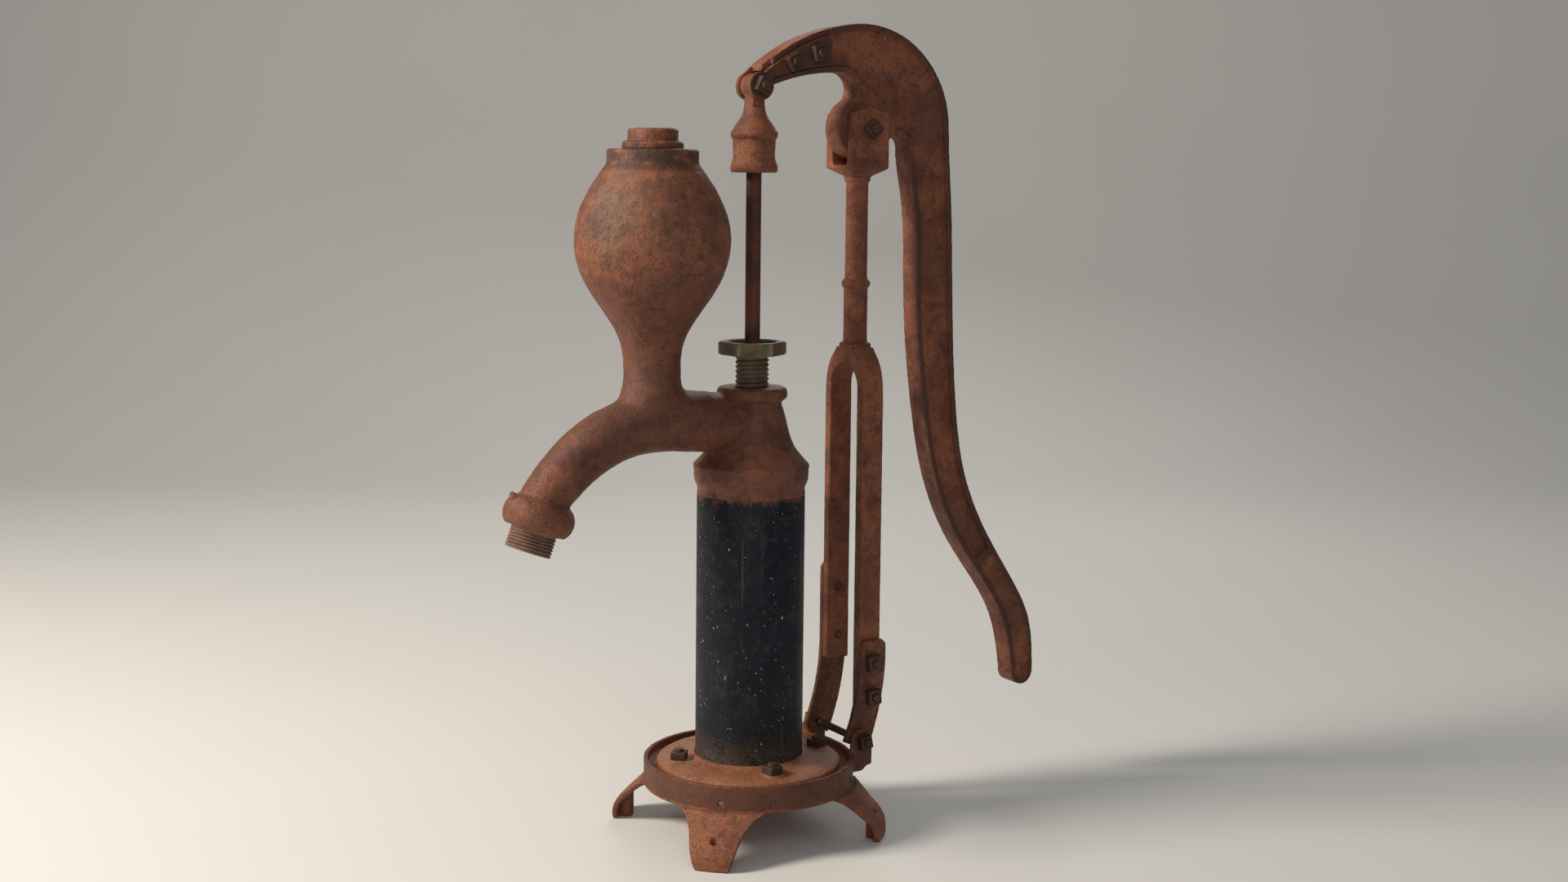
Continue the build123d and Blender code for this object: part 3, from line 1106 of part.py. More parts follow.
def main():
    os.makedirs("parts", exist_ok=True)
    save("base_ring", base_ring())
    save("base_flange", base_flange())
    save("flange_bolts", *flange_bolts())
    save("flange_nuts", *flange_nuts())
    save("barrel", disc(BARREL_R, BARREL_BOTTOM, BARREL_TOP, hole=BORE_R))
    save("barrel_gasket", disc(BARREL_R - RUNNING_GAP, FLOOR_TOP, BARREL_BOTTOM, hole=SEAT_PORT_R + 4.0))
    save("foot_valve_seat", foot_valve_seat())
    save("foot_valve", foot_valve())
    save("head_casting", head_casting())
    save("vessel_plug", vessel_plug())
    save("spout_nipple", spout_nipple())
    save("packing_rings", *packing_rings())
    save("gland_follower", gland_follower())
    save("gland_nut", gland_nut())
    save("piston_rod", piston_rod())
    save("crosshead", crosshead())
    save("plunger_body", plunger_body())
    save("cup_leather", cup_leather())
    save("plunger_follower", plunger_follower())
    save("rod_nut", rod_nut())
    save("plunger_valve", plunger_valve())
    save("valve_stop", valve_stop())
    save("lever", lever())
    save("side_plate", side_plate())
    save("fork_bolts", *fork_bolts())
    save("fork_nuts", *fork_nuts())
    save("crosshead_bolt", through_bolt(PIN, PIVOT_BOLT_R, SIDE_PLATE_OUTER, -SIDE_PLATE_OUTER, NUT_SIDE, turn=20.0))
    save("crosshead_nut", nut_y(PIN, NUT_SIDE, PIVOT_BOLT_R, -SIDE_PLATE_OUTER - NUT_THICK, -SIDE_PLATE_OUTER, 65.0))
    save("fulcrum_post", fulcrum_post())
    save("fulcrum_bolt", through_bolt(FULCRUM, PIVOT_BOLT_R, CLEVIS_Y, -CLEVIS_Y, NUT_SIDE, turn=15.0))
    save("fulcrum_nut", nut_y(FULCRUM, NUT_SIDE, PIVOT_BOLT_R, -CLEVIS_Y - NUT_THICK, -CLEVIS_Y, 45.0))
    save("near_strap", strap(NEAR_STRAP_TOP, -STRAP_OUTER_Y, -TINE_OUTER_Y, NEAR_BOLT_DROPS))
    save("far_strap", strap(FAR_STRAP_TOP, TINE_OUTER_Y, STRAP_OUTER_Y, FAR_BOLT_DROPS))
    save("near_strap_bolts", *near_strap_bolts())
    save("near_strap_nuts", *near_strap_nuts())
    save("far_strap_bolts", *far_strap_bolts())
    save("far_strap_nuts", *far_strap_nuts())
    near_end = -LUG_OUTER_Y - WASHER_THICK
    save("hinge_bolt", through_bolt(HINGE, HINGE_BOLT_R, LUG_OUTER_Y, near_end, HINGE_NUT_SIDE))
    save("hinge_nut", nut_y(HINGE, HINGE_NUT_SIDE, HINGE_BOLT_R, near_end - NUT_THICK, near_end, 12.0))
    save("hinge_washer", *hinge_washers())


main()
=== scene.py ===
# %% [markdown]
# # Dressing a hand pitcher pump
#
# The pump is already modelled as exact solids in another program, and they come in here as a fixed
# frame: every piece lies where it belongs, in metres, with the feet on Z = 0 and the rod on the Z axis.
# This script gives those solids the look of old cast iron, adds the screw threads and a few small
# forms that the solids leave plain, and sets up a studio round them. The cells run in order, and the
# text before each says what it is for.

# %% Load the frame
import json
import math
import bmesh
import bpy
from mathutils import Matrix, Vector
from mathutils.bvhtree import BVHTree


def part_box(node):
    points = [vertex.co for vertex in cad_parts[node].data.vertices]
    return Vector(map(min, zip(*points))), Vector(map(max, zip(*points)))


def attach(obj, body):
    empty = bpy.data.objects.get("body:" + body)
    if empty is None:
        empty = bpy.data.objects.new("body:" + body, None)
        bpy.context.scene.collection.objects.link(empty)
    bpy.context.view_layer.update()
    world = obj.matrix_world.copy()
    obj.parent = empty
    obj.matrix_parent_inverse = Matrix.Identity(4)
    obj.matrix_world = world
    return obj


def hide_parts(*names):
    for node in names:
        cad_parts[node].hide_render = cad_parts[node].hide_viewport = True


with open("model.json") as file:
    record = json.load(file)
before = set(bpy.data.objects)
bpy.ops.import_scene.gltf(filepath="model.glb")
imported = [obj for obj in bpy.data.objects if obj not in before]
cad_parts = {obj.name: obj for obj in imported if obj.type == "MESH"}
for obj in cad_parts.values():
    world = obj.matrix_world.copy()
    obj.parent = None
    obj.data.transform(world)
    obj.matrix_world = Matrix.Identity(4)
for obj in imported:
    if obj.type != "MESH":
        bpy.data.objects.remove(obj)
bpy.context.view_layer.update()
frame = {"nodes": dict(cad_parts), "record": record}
nodes = frame["nodes"]

# %% [markdown]
# Everything that is made below is some data, such as a mesh, a lamp or a camera, and an object that
# puts the data into the scene. The same lines do that each time, so they are written once. A mesh is
# first built as a bmesh, Blender's editable form of it, and most of them are shaded smooth.

# %% New objects
def linked(name, data):
    """Puts data into the scene as an object."""
    made = bpy.data.objects.new(name, data)
    bpy.context.scene.collection.objects.link(made)
    return made


def smooth_piece(name, mesh):
    """Turns a bmesh into an object that is shaded smooth, and frees the bmesh."""
    data = bpy.data.meshes.new(name)
    mesh.to_mesh(data)
    mesh.free()
    for face in data.polygons:
        face.use_smooth = True
    return linked(name, data)


def keep_edges(piece, degrees):
    """Keeps an edge of a smooth piece hard where its faces meet at more than an angle."""
    split = piece.modifiers.new("keep_edges", "EDGE_SPLIT")
    split.split_angle = math.radians(degrees)


print("new objects are made by", linked.__name__, "and", smooth_piece.__name__)

# %% [markdown]
# ## Studio
#
# The floor sweeps up behind the pump as one curved sheet, which photographers call a cove, so no
# line shows where floor and wall meet. It is pale and almost matte.

# %% Floor and cove
FLOOR_HALF_WIDTH = 40.0
FLOOR_FRONT = -40.0
COVE_START = 2.2
COVE_RADIUS = 1.5
WALL_TOP = 4.0
COVE_STEPS = 16
LOOK_ALONG = math.radians(-31.5)      # turn of the camera about Z, away from looking along +Y

profile = [(FLOOR_FRONT, 0.0)]
for step in range(COVE_STEPS + 1):
    angle = math.pi / 2 * step / COVE_STEPS
    profile.append((COVE_START + COVE_RADIUS * math.sin(angle), COVE_RADIUS * (1 - math.cos(angle))))
profile.append((COVE_START + COVE_RADIUS, WALL_TOP))
cove = bmesh.new()
rows = [[cove.verts.new((x, y, z)) for x in (-FLOOR_HALF_WIDTH, FLOOR_HALF_WIDTH)] for y, z in profile]
for near, far in zip(rows, rows[1:]):
    cove.faces.new((near[0], near[1], far[1], far[0]))
floor = smooth_piece("floor_cove", cove)
floor.rotation_euler.z = LOOK_ALONG
print("cove of", len(floor.data.polygons), "faces")

# %% [markdown]
# ## Camera
#
# A camera looks along its own -Z. Turning it about X by 90 degrees makes it look along +Y, a little
# less than 90 tips it down, and a turn about Z then walks it round the pump. A small shift moves the
# picture without tipping the camera, so upright lines lean less.

# %% Camera
CAMERA_PLACE = (-1.0407, -1.7622, 0.7063)
CAMERA_TIP = 5.76                     # degrees below level
CAMERA_ROLL = 0.62                    # degrees
camera_data = bpy.data.cameras.new("camera")
camera_data.lens = 45.0               # in millimetres, as is the sensor's width
camera_data.sensor_width = 36.0
camera_data.shift_y = -0.05           # a share of the sensor's width
camera = linked("camera", camera_data)
camera.matrix_world = (
    Matrix.Translation(CAMERA_PLACE)
    @ Matrix.Rotation(LOOK_ALONG, 4, "Z")
    @ Matrix.Rotation(math.radians(90.0 - CAMERA_TIP), 4, "X")
    @ Matrix.Rotation(math.radians(CAMERA_ROLL), 4, "Z")
)
bpy.context.scene.camera = camera
print("camera", round(Vector(CAMERA_PLACE).xy.length, 3), "m from the pump's axis")

# %% [markdown]
# ## Light
#
# One strong warm lamp stands to the left, as a window would. A wider and much weaker one stands near
# the camera and fills the shadows, a third lights the pump from behind, and a pale world keeps the
# undersides readable. Area lamps are used because their size makes soft-edged shadows. Together they
# come near a level at which a colour looks as written.

# %% Lamps and world
LAMP_AIM = (0.0, 0.0, 0.42)
# name: (place, width, watts, colour)
LAMPS = {
    "key": ((-2.20, 0.52, 1.80), 0.9, 88.0, (1.0, 0.91, 0.78)),
    "fill": ((-1.1, -2.4, 1.6), 2.0, 13.0, (1.0, 0.96, 0.90)),
    "back": ((1.6, 1.8, 1.9), 1.4, 16.0, (1.0, 0.97, 0.93)),
}
WORLD_COLOR = (0.90, 0.92, 0.95, 1.0)
WORLD_STRENGTH = 0.25

for name, (place, width, watts, color) in LAMPS.items():
    light = bpy.data.lights.new(name, "AREA")
    light.shape = "DISK"
    light.size = width
    light.energy = watts
    light.color = color
    lamp = linked(name, light)
    lamp.location = place
    lamp.rotation_euler = (Vector(LAMP_AIM) - Vector(place)).to_track_quat("-Z", "Y").to_euler()

world = bpy.data.worlds.new("studio")
bpy.context.scene.world = world
world.use_nodes = True
backing = world.node_tree.nodes["Background"]
backing.inputs["Color"].default_value = WORLD_COLOR
backing.inputs["Strength"].default_value = WORLD_STRENGTH
bpy.context.scene.view_settings.view_transform = "Standard"
print(len(LAMPS), "lamps and a pale world")

# %% [markdown]
# ## Writing finishes as sums
#
# A finish is a net of shader nodes. Drawn by hand it is quick to make and slow to read, so here a
# small class stands for the output of a node and lets it be used in ordinary arithmetic: `1 - mask`
# adds a Math node and links it.

# %% The socket class
class Value:
    """The output of a shader node, which adds Math nodes when it is used in arithmetic."""

    def __init__(self, finish, socket):
        self.finish = finish
        self.socket = socket

    def math(self, operation, *others):
        inputs = dict(enumerate((self,) + others))
        return self.finish.add("Math", {"operation": operation}, inputs)

    def __add__(self, other):
        return self.math("ADD", other)

    def __mul__(self, other):
        return self.math("MULTIPLY", other)

    def __sub__(self, other):
        return self.math("SUBTRACT", other)

    def __rsub__(self, other):
        return self.finish.add("Math", {"operation": "SUBTRACT"}, {0: other, 1: self})

    __radd__ = __add__
    __rmul__ = __mul__


print(Value.__name__, "stands for the output of a node")

# %% [markdown]
# The second class stands for a material. Its method `add` makes any node, and the shorter ones below
# it name what the finishes need again and again: noise, a soft step, a blend of two colours.

# %% The finish class
class Finish:
    """A material with one Principled shader, and short ways to add nodes in front of it."""

    def __init__(self, name):
        self.material = bpy.data.materials.new(name)
        self.material.use_nodes = True
        self.tree = self.material.node_tree
        self.shader = self.tree.nodes["Principled BSDF"]
        self.place = self.add("TexCoord", out="Object")

    def add(self, kind, settings=None, inputs=None, out=0):
        """A node of that kind: its settings are set first, then its sockets are given or linked."""
        node = self.tree.nodes.new("ShaderNode" + kind)
        for key, value in (settings or {}).items():
            setattr(node, key, value)
        for key, value in (inputs or {}).items():
            self.feed(node.inputs[key], value)
        return Value(self, node.outputs[out])

    def feed(self, socket, value):
        if isinstance(value, Value):
            self.tree.links.new(value.socket, socket)
        elif socket.type == "RGBA" and len(value) == 3:
            socket.default_value = (*value, 1.0)
        else:
            socket.default_value = value

    def noise(self, scale, detail, roughness, twist=0.0, place=None):
        """Cloudy noise between 0 and 1; scale counts its lumps in a metre."""
        inputs = {"Vector": place or self.place, "Scale": scale, "Detail": detail,
                  "Roughness": roughness, "Distortion": twist}
        return self.add("TexNoise", None, inputs)

    def drawn_out(self, upright):
        """The place with its height scaled, for noise in streaks that run up and down."""
        return self.add("VectorMath", {"operation": "MULTIPLY"}, {0: self.place, 1: (1.0, 1.0, upright)})

    def coordinate(self, axis, vector=None):
        """One coordinate of a vector, which is the place if none is given."""
        return self.add("SeparateXYZ", None, {0: vector or self.place}, out=axis)

    def along(self, direction):
        """How far the place lies in that direction."""
        inputs = {0: self.place, 1: direction}
        return self.add("VectorMath", {"operation": "DOT_PRODUCT"}, inputs, out="Value")

    def step(self, value, low, high):
        """0 below low, 1 above high and smooth between."""
        inputs = {"Value": value, "From Min": low, "From Max": high}
        return self.add("MapRange", {"interpolation_type": "SMOOTHSTEP"}, inputs)

    def blend(self, first, second, factor):
        """A colour between two colours."""
        return self.add("Mix", {"data_type": "RGBA"}, {0: factor, 6: first, 7: second}, out=2)

    def pits(self, scale, size):
        """1 in the middle of small round hollows and 0 outside them; size is a share of their spacing."""
        cells = self.add("TexVoronoi", None, {"Vector": self.place, "Scale": scale}, out="Distance")
        return 1 - self.step(cells, size * 0.45, size)

    def edges(self):
        """About 0.5 on flats, more on outer edges and less in hollows."""
        return self.add("NewGeometry", out="Pointiness")

    def bump(self, height, distance, strength):
        inputs = {"Height": height, "Distance": distance, "Strength": strength}
        self.feed(self.shader.inputs["Normal"], self.add("Bump", None, inputs))

    def surface(self, **inputs):
        """Feed the Principled shader; an underscore in a name stands for a space."""
        for key, value in inputs.items():
            self.feed(self.shader.inputs[key.replace("_", " ")], value)
        return self.material


print(Finish.__name__, "stands for a material")

# %% [markdown]
# ## Old painted cast iron
#
# The castings were painted red once. Sun and rain turned the paint orange-brown, rust came through in
# purple-brown clouds, and the sand of the mould left a fine pitted skin. Each of those is one mask: wide
# clouds, mottles of a few centimetres, pits of a millimetre or two, dark lines along worn edges, and
# painted shade with dirt darkening the hollows. The masks blend flat colours in turn, from the widest to
# the finest.

# %% Casting recipe
ORANGE = (0.285, 0.093, 0.040)
BRICK = (0.150, 0.045, 0.023)
PURPLE_BROWN = (0.066, 0.025, 0.019)
PALE_ORANGE = (0.40, 0.180, 0.092)
SOOT_AND_SHADE = (0.020, 0.011, 0.009)
GREEN_GREY = (0.150, 0.118, 0.070)
RIM_BROWN = (0.048, 0.024, 0.015)
# noise: (lumps in a metre, detail, roughness), from the widest to the finest
WIDE = (9.0, 5.0, 0.6)
BLOTCH = (30.0, 8.0, 0.70)
MOTTLE = (120.0, 8.0, 0.74)
FLECK = (430.0, 5.0, 0.70)
GRAIN = (1250.0, 2.0, 0.6)
PITS_PER_METRE = 150.0
PIT_SIZE = 0.17
CAST_RELIEF = 0.0026


def casting(name, redness, clouds, patina, pale, rims, specks, gloss=0.4, stains=()):
    """Rusty cast iron. Each number is how much of that look shows, from 0 to about 1, and each stain is
    the place where it lies, as a function of the finish, its colour and its strength."""
    finish = Finish(name)
    wide = finish.noise(*WIDE, twist=0.4)
    blotch = finish.noise(*BLOTCH, twist=0.3)
    mottle = finish.noise(*MOTTLE)
    fleck = finish.noise(*FLECK)
    grain = finish.noise(*GRAIN)
    pits = finish.pits(PITS_PER_METRE, PIT_SIZE) * finish.step(blotch, 0.50, 0.60)
    edges = finish.edges()

    # the paint and what the weather made of it
    ruddy = finish.step(blotch * 0.4 + wide * 0.6, 0.54 - 0.12 * redness, 0.68 - 0.12 * redness)
    color = finish.blend(ORANGE, BRICK, ruddy)
    dusty = finish.step(fleck * 0.45 + wide * 0.55, 0.49, 0.62)
    color = finish.blend(color, PALE_ORANGE, dusty * (0.75 * pale))
    mossy = finish.step(wide * 0.75 + mottle * 0.25, 0.53, 0.62)
    color = finish.blend(color, GREEN_GREY, mossy * (0.75 * patina))
    for spot, stain, strength in stains:
        color = finish.blend(color, stain, spot(finish) * strength)

    # rust in clouds and grains, then specks, pits, worn edges, and hollows darkened by painted shade and
    # dirt
    tone = mottle * 0.35 + fleck * 0.35 + blotch * 0.30
    cloudy = finish.step(tone, 0.50 - 0.10 * clouds, 0.66 - 0.10 * clouds)
    color = finish.blend(color, PURPLE_BROWN, cloudy * 0.72)
    grainy = finish.step(grain * 0.6 + fleck * 0.4, 0.46, 0.62)
    color = finish.blend(color, PURPLE_BROWN, grainy * 0.6)
    speckled = finish.step(fleck * 0.7 + mottle * 0.3, 0.60 - 0.05 * specks, 0.68 - 0.05 * specks)
    color = finish.blend(color, SOOT_AND_SHADE, speckled * 0.7)
    color = finish.blend(color, SOOT_AND_SHADE, pits * 0.8)
    color = finish.blend(color, RIM_BROWN, finish.step(edges, 0.515, 0.58) * rims)
    # painted shade and dirt darken the hollows
    color = finish.blend(color, SOOT_AND_SHADE, finish.step(edges, 0.492, 0.44) * 0.85)

    height = blotch * 0.20 + mottle * 0.35 + fleck * 0.33 + grain * 0.12 - pits * 0.35
    finish.bump(height, CAST_RELIEF, 0.75)
    roughness = 0.70 - 0.3 * gloss + (blotch - 0.5) * 0.5 + (fleck - 0.5) * 0.4
    return finish.surface(Base_Color=color, Roughness=roughness, Specular_IOR_Level=0.20 + 0.3 * gloss)


print("the recipe has", len((WIDE, BLOTCH, MOTTLE, FLECK, GRAIN)), "noises")

# %% [markdown]
# A stain lies in one place only. Each function below says where, and gives back another function,
# which adds the nodes for that mask to a finish. Two masks multiplied show only where both are.

# %% Where a stain lies
FACE_FADE = 0.0004


def band(low, high, fringe):
    """Where a point lies between two heights; both limits are ragged, and fade over the fringe."""
    def spot(finish):
        ragged = finish.coordinate("Z") + (finish.noise(75.0, 7.0, 0.72) - 0.5) * (6 * fringe)
        return finish.step(ragged, low, low + fringe) * (1 - finish.step(ragged, high, high + fringe))
    return spot


def facing(axis, out):
    """Where a face looks along an axis, either way, and lies at least that far out on it."""
    def spot(finish):
        looks = finish.coordinate(axis, finish.add("TexCoord", out="Normal")).math("ABSOLUTE")
        distance = finish.coordinate(axis).math("ABSOLUTE")
        return finish.step(looks, 0.75, 0.9) * finish.step(distance, out - FACE_FADE, out)
    return spot


def away_from(place, near, far):
    """Where a point lies farther from a place than a length; it fades in up to a second length."""
    def spot(finish):
        inputs = {0: finish.place, 1: place}
        gap = finish.add("VectorMath", {"operation": "DISTANCE"}, inputs, out="Value")
        return finish.step(gap, near, far)
    return spot


def near_to(place, near, far):
    """Where a point lies nearer to a place than a length; it fades out up to a second length."""
    return lambda finish: 1 - away_from(place, near, far)(finish)


def mottled(scale, low, high):
    """Ragged patches, the more of them the lower both limits are."""
    return lambda finish: finish.step(finish.noise(scale, 8.0, 0.72), low, high)


def both(first, second):
    return lambda finish: first(finish) * second(finish)


print("a stain lies in a band, on a face, near to a place, away from one, or in patches")

# %% [markdown]
# The air vessel has a dark rim, a neck and bell darkened by painted shade and soot, a patch of moss and a
# chalky top. The lever's rims are worn brown, the flange is ochre with a grey bloom on its faces, and the
# hoop of the base is brown.

# %% Stains of the castings
RIM_STAIN = (0.045, 0.024, 0.017)
NECK_SHADE_AND_SOOT = (0.072, 0.022, 0.012)
GREY_BLOOM = (0.30, 0.24, 0.20)
OCHRE = (0.34, 0.150, 0.050)
HOOP_BROWN = (0.090, 0.034, 0.018)
CHALK = (0.33, 0.29, 0.24)
# bands: (lower height, upper height, width of the fringe)
RIM_BAND = (0.7015, 0.7215, 0.003)
UNDER_RIM_BAND = (0.6985, 0.7035, 0.002)
NECK_BAND = (0.40, 0.588, 0.020)
BELL_BAND = (0.30, 0.425, 0.006)
HOOP_BAND = (0.0515, 0.0765, 0.002)
HOOP_MIDDLE = (0.0, 0.0, 0.065)
HOOP_FACE = (0.1085, 0.1095)          # distances from that middle over which the hoop's stain fades in
MOSS_BESIDE_AXIS = -0.069             # along X, from the axis of the vessel
MOSS_IN_FRONT = -0.038                # along Y
MOSS_HEIGHT = 0.648
MOSS_SPREAD = (0.020, 0.062)          # distances over which the moss fades out
CHALK_DEPTH = 0.0012                  # below the top of the plug
CHALK_FRINGE = 0.0006
RIM_FACE_DEPTH = 0.0025               # inwards from the lever's outermost face
HUB_CLEAR = (0.060, 0.085)            # distances from the fulcrum over which the brown of the rims fades in
BLOOM_DROP = 0.03                     # below the top of the flange

plug_low, plug_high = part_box("vessel_plug")
vessel_axis = (plug_low + plug_high) / 2
flange_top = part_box("base_flange")[1].z
lever_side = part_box("lever")[1].y
fulcrum = sum(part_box("fulcrum_bolt"), Vector()) / 2

moss_place = (vessel_axis.x + MOSS_BESIDE_AXIS, MOSS_IN_FRONT, MOSS_HEIGHT)
vessel_stains = [
    (both(near_to(moss_place, *MOSS_SPREAD), mottled(45.0, 0.38, 0.58)), GREEN_GREY, 0.48),
    # painted shade and soot darken the neck and lower vessel, and the bell below it
    (band(*NECK_BAND), NECK_SHADE_AND_SOOT, 0.50),
    (band(*BELL_BAND), NECK_SHADE_AND_SOOT, 0.35),
    (both(band(*RIM_BAND), mottled(55.0, 0.40, 0.54)), RIM_STAIN, 0.85),
    (band(*UNDER_RIM_BAND), RIM_STAIN, 0.55),
    (band(plug_high.z - CHALK_DEPTH, 1.0, CHALK_FRINGE), CHALK, 0.8),
]
lever_rims = both(facing("Y", lever_side - RIM_FACE_DEPTH), away_from(fulcrum, *HUB_CLEAR))
lever_stains = [(lever_rims, RIM_BROWN, 0.75)]
flange_stains = [
    (mottled(40.0, 0.42, 0.60), OCHRE, 0.55),
    (facing("Z", flange_top - BLOOM_DROP), GREY_BLOOM, 0.08),
]
base_stains = [(both(band(*HOOP_BAND), away_from(HOOP_MIDDLE, *HOOP_FACE)), HOOP_BROWN, 0.80)]
print(len(vessel_stains), "stains on the vessel, the axis of which is at x =", round(vessel_axis.x, 4))

# %% [markdown]
# Six mixtures of the one recipe serve all the castings.

# %% Casting mixtures
vessel_iron = casting("vessel_iron", redness=0.6, clouds=0.6, patina=0.1, pale=0.5, rims=0.15, specks=0.9,
                      gloss=0.55, stains=vessel_stains)
lever_iron = casting("lever_iron", redness=1.0, clouds=0.55, patina=0.15, pale=0.35, rims=0.8, specks=0.5,
                     stains=lever_stains)
post_iron = casting("post_iron", redness=0.85, clouds=0.5, patina=0.1, pale=0.4, rims=0.6, specks=0.5)
base_iron = casting("base_iron", redness=0.6, clouds=0.5, patina=0.3, pale=0.5, rims=0.6, specks=0.6,
                    stains=base_stains)
flange_iron = casting("flange_iron", redness=0.1, clouds=0.15, patina=0.1, pale=0.8, rims=0.4, specks=0.3,
                      gloss=0.8, stains=flange_stains)
strap_iron = casting("strap_iron", redness=1.1, clouds=1.0, patina=0.0, pale=0.1, rims=0.7, specks=0.9)
print("the vessel's iron has", len(vessel_iron.node_tree.nodes), "nodes")

# %% [markdown]
# ## Black pipe
#
# The barrel is a length of iron pipe in a blue-black paint. It carries chalky specks, a few thin
# scratches that run up and down, one long pale one among them, wandering stains, and a brownish bloom
# low down where water splashes.

# %% Pipe finish
PIPE_BLACK = (0.0014, 0.0038, 0.0090)
PIPE_BLUE = (0.0050, 0.0092, 0.0170)
VEIN_GREY = (0.050, 0.047, 0.043)
LIT_SIDE_BROWN = (0.050, 0.042, 0.032)
STREAK_GREY = (0.030, 0.029, 0.028)
MUD = (0.135, 0.095, 0.068)
BLEED_RUST = (0.16, 0.065, 0.035)
CHIP_WHITE = (0.55, 0.55, 0.50)
SCAR_GREY = (0.26, 0.25, 0.22)
CUT_GREY = (0.20, 0.20, 0.19)
SCRATCH_GREY = (0.10, 0.10, 0.098)
SCRATCH_FACING = (-0.6225, -0.7825, 0.0)      # from the axis to the long scratch
SCRATCH_ACROSS = (0.7825, -0.6225, 0.0)       # square to that
SCRATCH_STARTS = (0.240, 0.275)               # heights between which it fades in
SCRATCH_ENDS = (0.312, 0.325)                 # heights between which it fades out
BLOOM_START = 0.010                           # above the lower end of the pipe
BLOOM_HEIGHT = 0.035
PIPE_RELIEF = 0.0012


def black_pipe(name):
    """Blue-black painted pipe with specks, scratches, stains and a bloom at its foot."""
    finish = Finish(name)
    low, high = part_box("barrel")
    height = finish.coordinate("Z")
    cloud = finish.noise(16.0, 7.0, 0.62, twist=0.6)
    veins = finish.noise(15.0, 8.0, 0.62, twist=3.0, place=finish.drawn_out(0.55))
    streaks = finish.noise(120.0, 5.0, 0.65, place=finish.drawn_out(0.05))
    dust = finish.noise(900.0, 3.0, 0.65)
    mottle = finish.noise(70.0, 8.0, 0.74)
    specks = finish.noise(430.0, 1.0, 0.4, place=finish.drawn_out(0.7))
    dings = finish.noise(120.0, 3.0, 0.7, place=finish.drawn_out(0.30))
    scratch = finish.noise(75.0, 2.0, 0.4, place=finish.drawn_out(0.03))

    # clouds, veins, and a patchy painted sheen on the side towards the spout, where the key lamp falls
    color = finish.blend(PIPE_BLACK, PIPE_BLUE, finish.step(cloud, 0.42, 0.60))
    line = finish.step(veins, 0.52, 0.545) * (1 - finish.step(veins, 0.545, 0.59))
    color = finish.blend(color, VEIN_GREY, line * finish.step(mottle, 0.42, 0.56) * 0.45)
    # a patchy brown painted sheen on the side of the pipe that faces the key lamp
    lit_side = finish.step(finish.coordinate("X") * -8.0 + mottle * 4.0, 2.05, 2.75)
    color = finish.blend(color, LIT_SIDE_BROWN, lit_side * finish.step(dust, 0.44, 0.60) * 0.7)
    color = finish.blend(color, STREAK_GREY, finish.step(streaks * 0.6 + mottle * 0.4, 0.55, 0.63) * 0.6)

    # mud at the foot, and rust that bleeds down from the head casting
    foot = low.z + BLOOM_START
    rise = finish.step(height + (mottle - 0.5) * 0.12, foot, foot + BLOOM_HEIGHT)
    bloom = (1 - rise) * finish.step(mottle * 0.5 + dust * 0.5, 0.40, 0.58)
    color = finish.blend(color, MUD, bloom * 0.8)
    bleed = finish.step(height + (mottle - 0.5) * 0.05, high.z - 0.006, high.z + 0.002)
    color = finish.blend(color, BLEED_RUST, bleed * 0.7)

    # chips, scars and short cuts, then the one long scratch
    chips = finish.step(specks, 0.760, 0.785)
    color = finish.blend(color, CHIP_WHITE, chips)
    scars = finish.step(dings, 0.715, 0.74) * finish.step(cloud, 0.48, 0.56)
    color = finish.blend(color, SCAR_GREY, scars * 0.8)
    color = finish.blend(color, CUT_GREY, finish.step(scratch, 0.725, 0.745) * 0.7)
    sideways = finish.along(SCRATCH_ACROSS) + (mottle - 0.5) * 0.0012
    thin = 1 - finish.step(sideways.math("ABSOLUTE"), 0.0002, 0.0010)
    run = finish.step(height, *SCRATCH_STARTS) * (1 - finish.step(height, *SCRATCH_ENDS))
    seen = finish.step(finish.along(SCRATCH_FACING), 0.0, 0.01)
    color = finish.blend(color, SCRATCH_GREY, thin * run * seen * 0.6)

    finish.bump(mottle * 0.4 + dust * 0.3 + streaks * 0.3, PIPE_RELIEF, 0.45)
    roughness = 0.40 + finish.step(cloud, 0.35, 0.7) * 0.2 + chips * 0.2 + bloom * 0.25 + lit_side * 0.2
    return finish.surface(Base_Color=color, Roughness=roughness, Specular_IOR_Level=0.22)


pipe_paint = black_pipe("pipe_paint")
print("pipe finish has", len(pipe_paint.node_tree.nodes), "nodes")

# %% [markdown]
# ## Smaller metals
#
# The gland nut is bronze gone olive-brown, and the nipple in the spout is iron with a dull tan skin.
# The rod is oiled steel with a dark red oxide, nuts and bolts are plain iron, almost chocolate, and
# the valves inside are brass. They share one recipe: two colours in clouds, dirt and painted shade
# darkening the hollows, and a lighter colour on the edges for rubbed wear and a painted highlight.

# %% Metal finishes
METAL_RELIEF = 0.0009
# name: (first colour, second colour, colour of the rubbed and highlighted edges, metallic, roughness)
METALS = {
    "aged_bronze": ((0.150, 0.110, 0.068), (0.082, 0.062, 0.042), (0.30, 0.23, 0.14), 0.25, 0.58),
    "nut_iron": ((0.090, 0.045, 0.029), (0.045, 0.026, 0.020), (0.17, 0.09, 0.055), 0.15, 0.62),
    "rod_steel": ((0.095, 0.020, 0.011), (0.036, 0.0095, 0.0075), (0.2, 0.07, 0.04), 0.0, 0.6),
    "nipple_iron": ((0.20, 0.115, 0.075), (0.13, 0.070, 0.047), (0.36, 0.24, 0.16), 0.15, 0.6),
    "valve_brass": ((0.36, 0.25, 0.10), (0.22, 0.15, 0.06), (0.5, 0.38, 0.2), 0.8, 0.45),
}


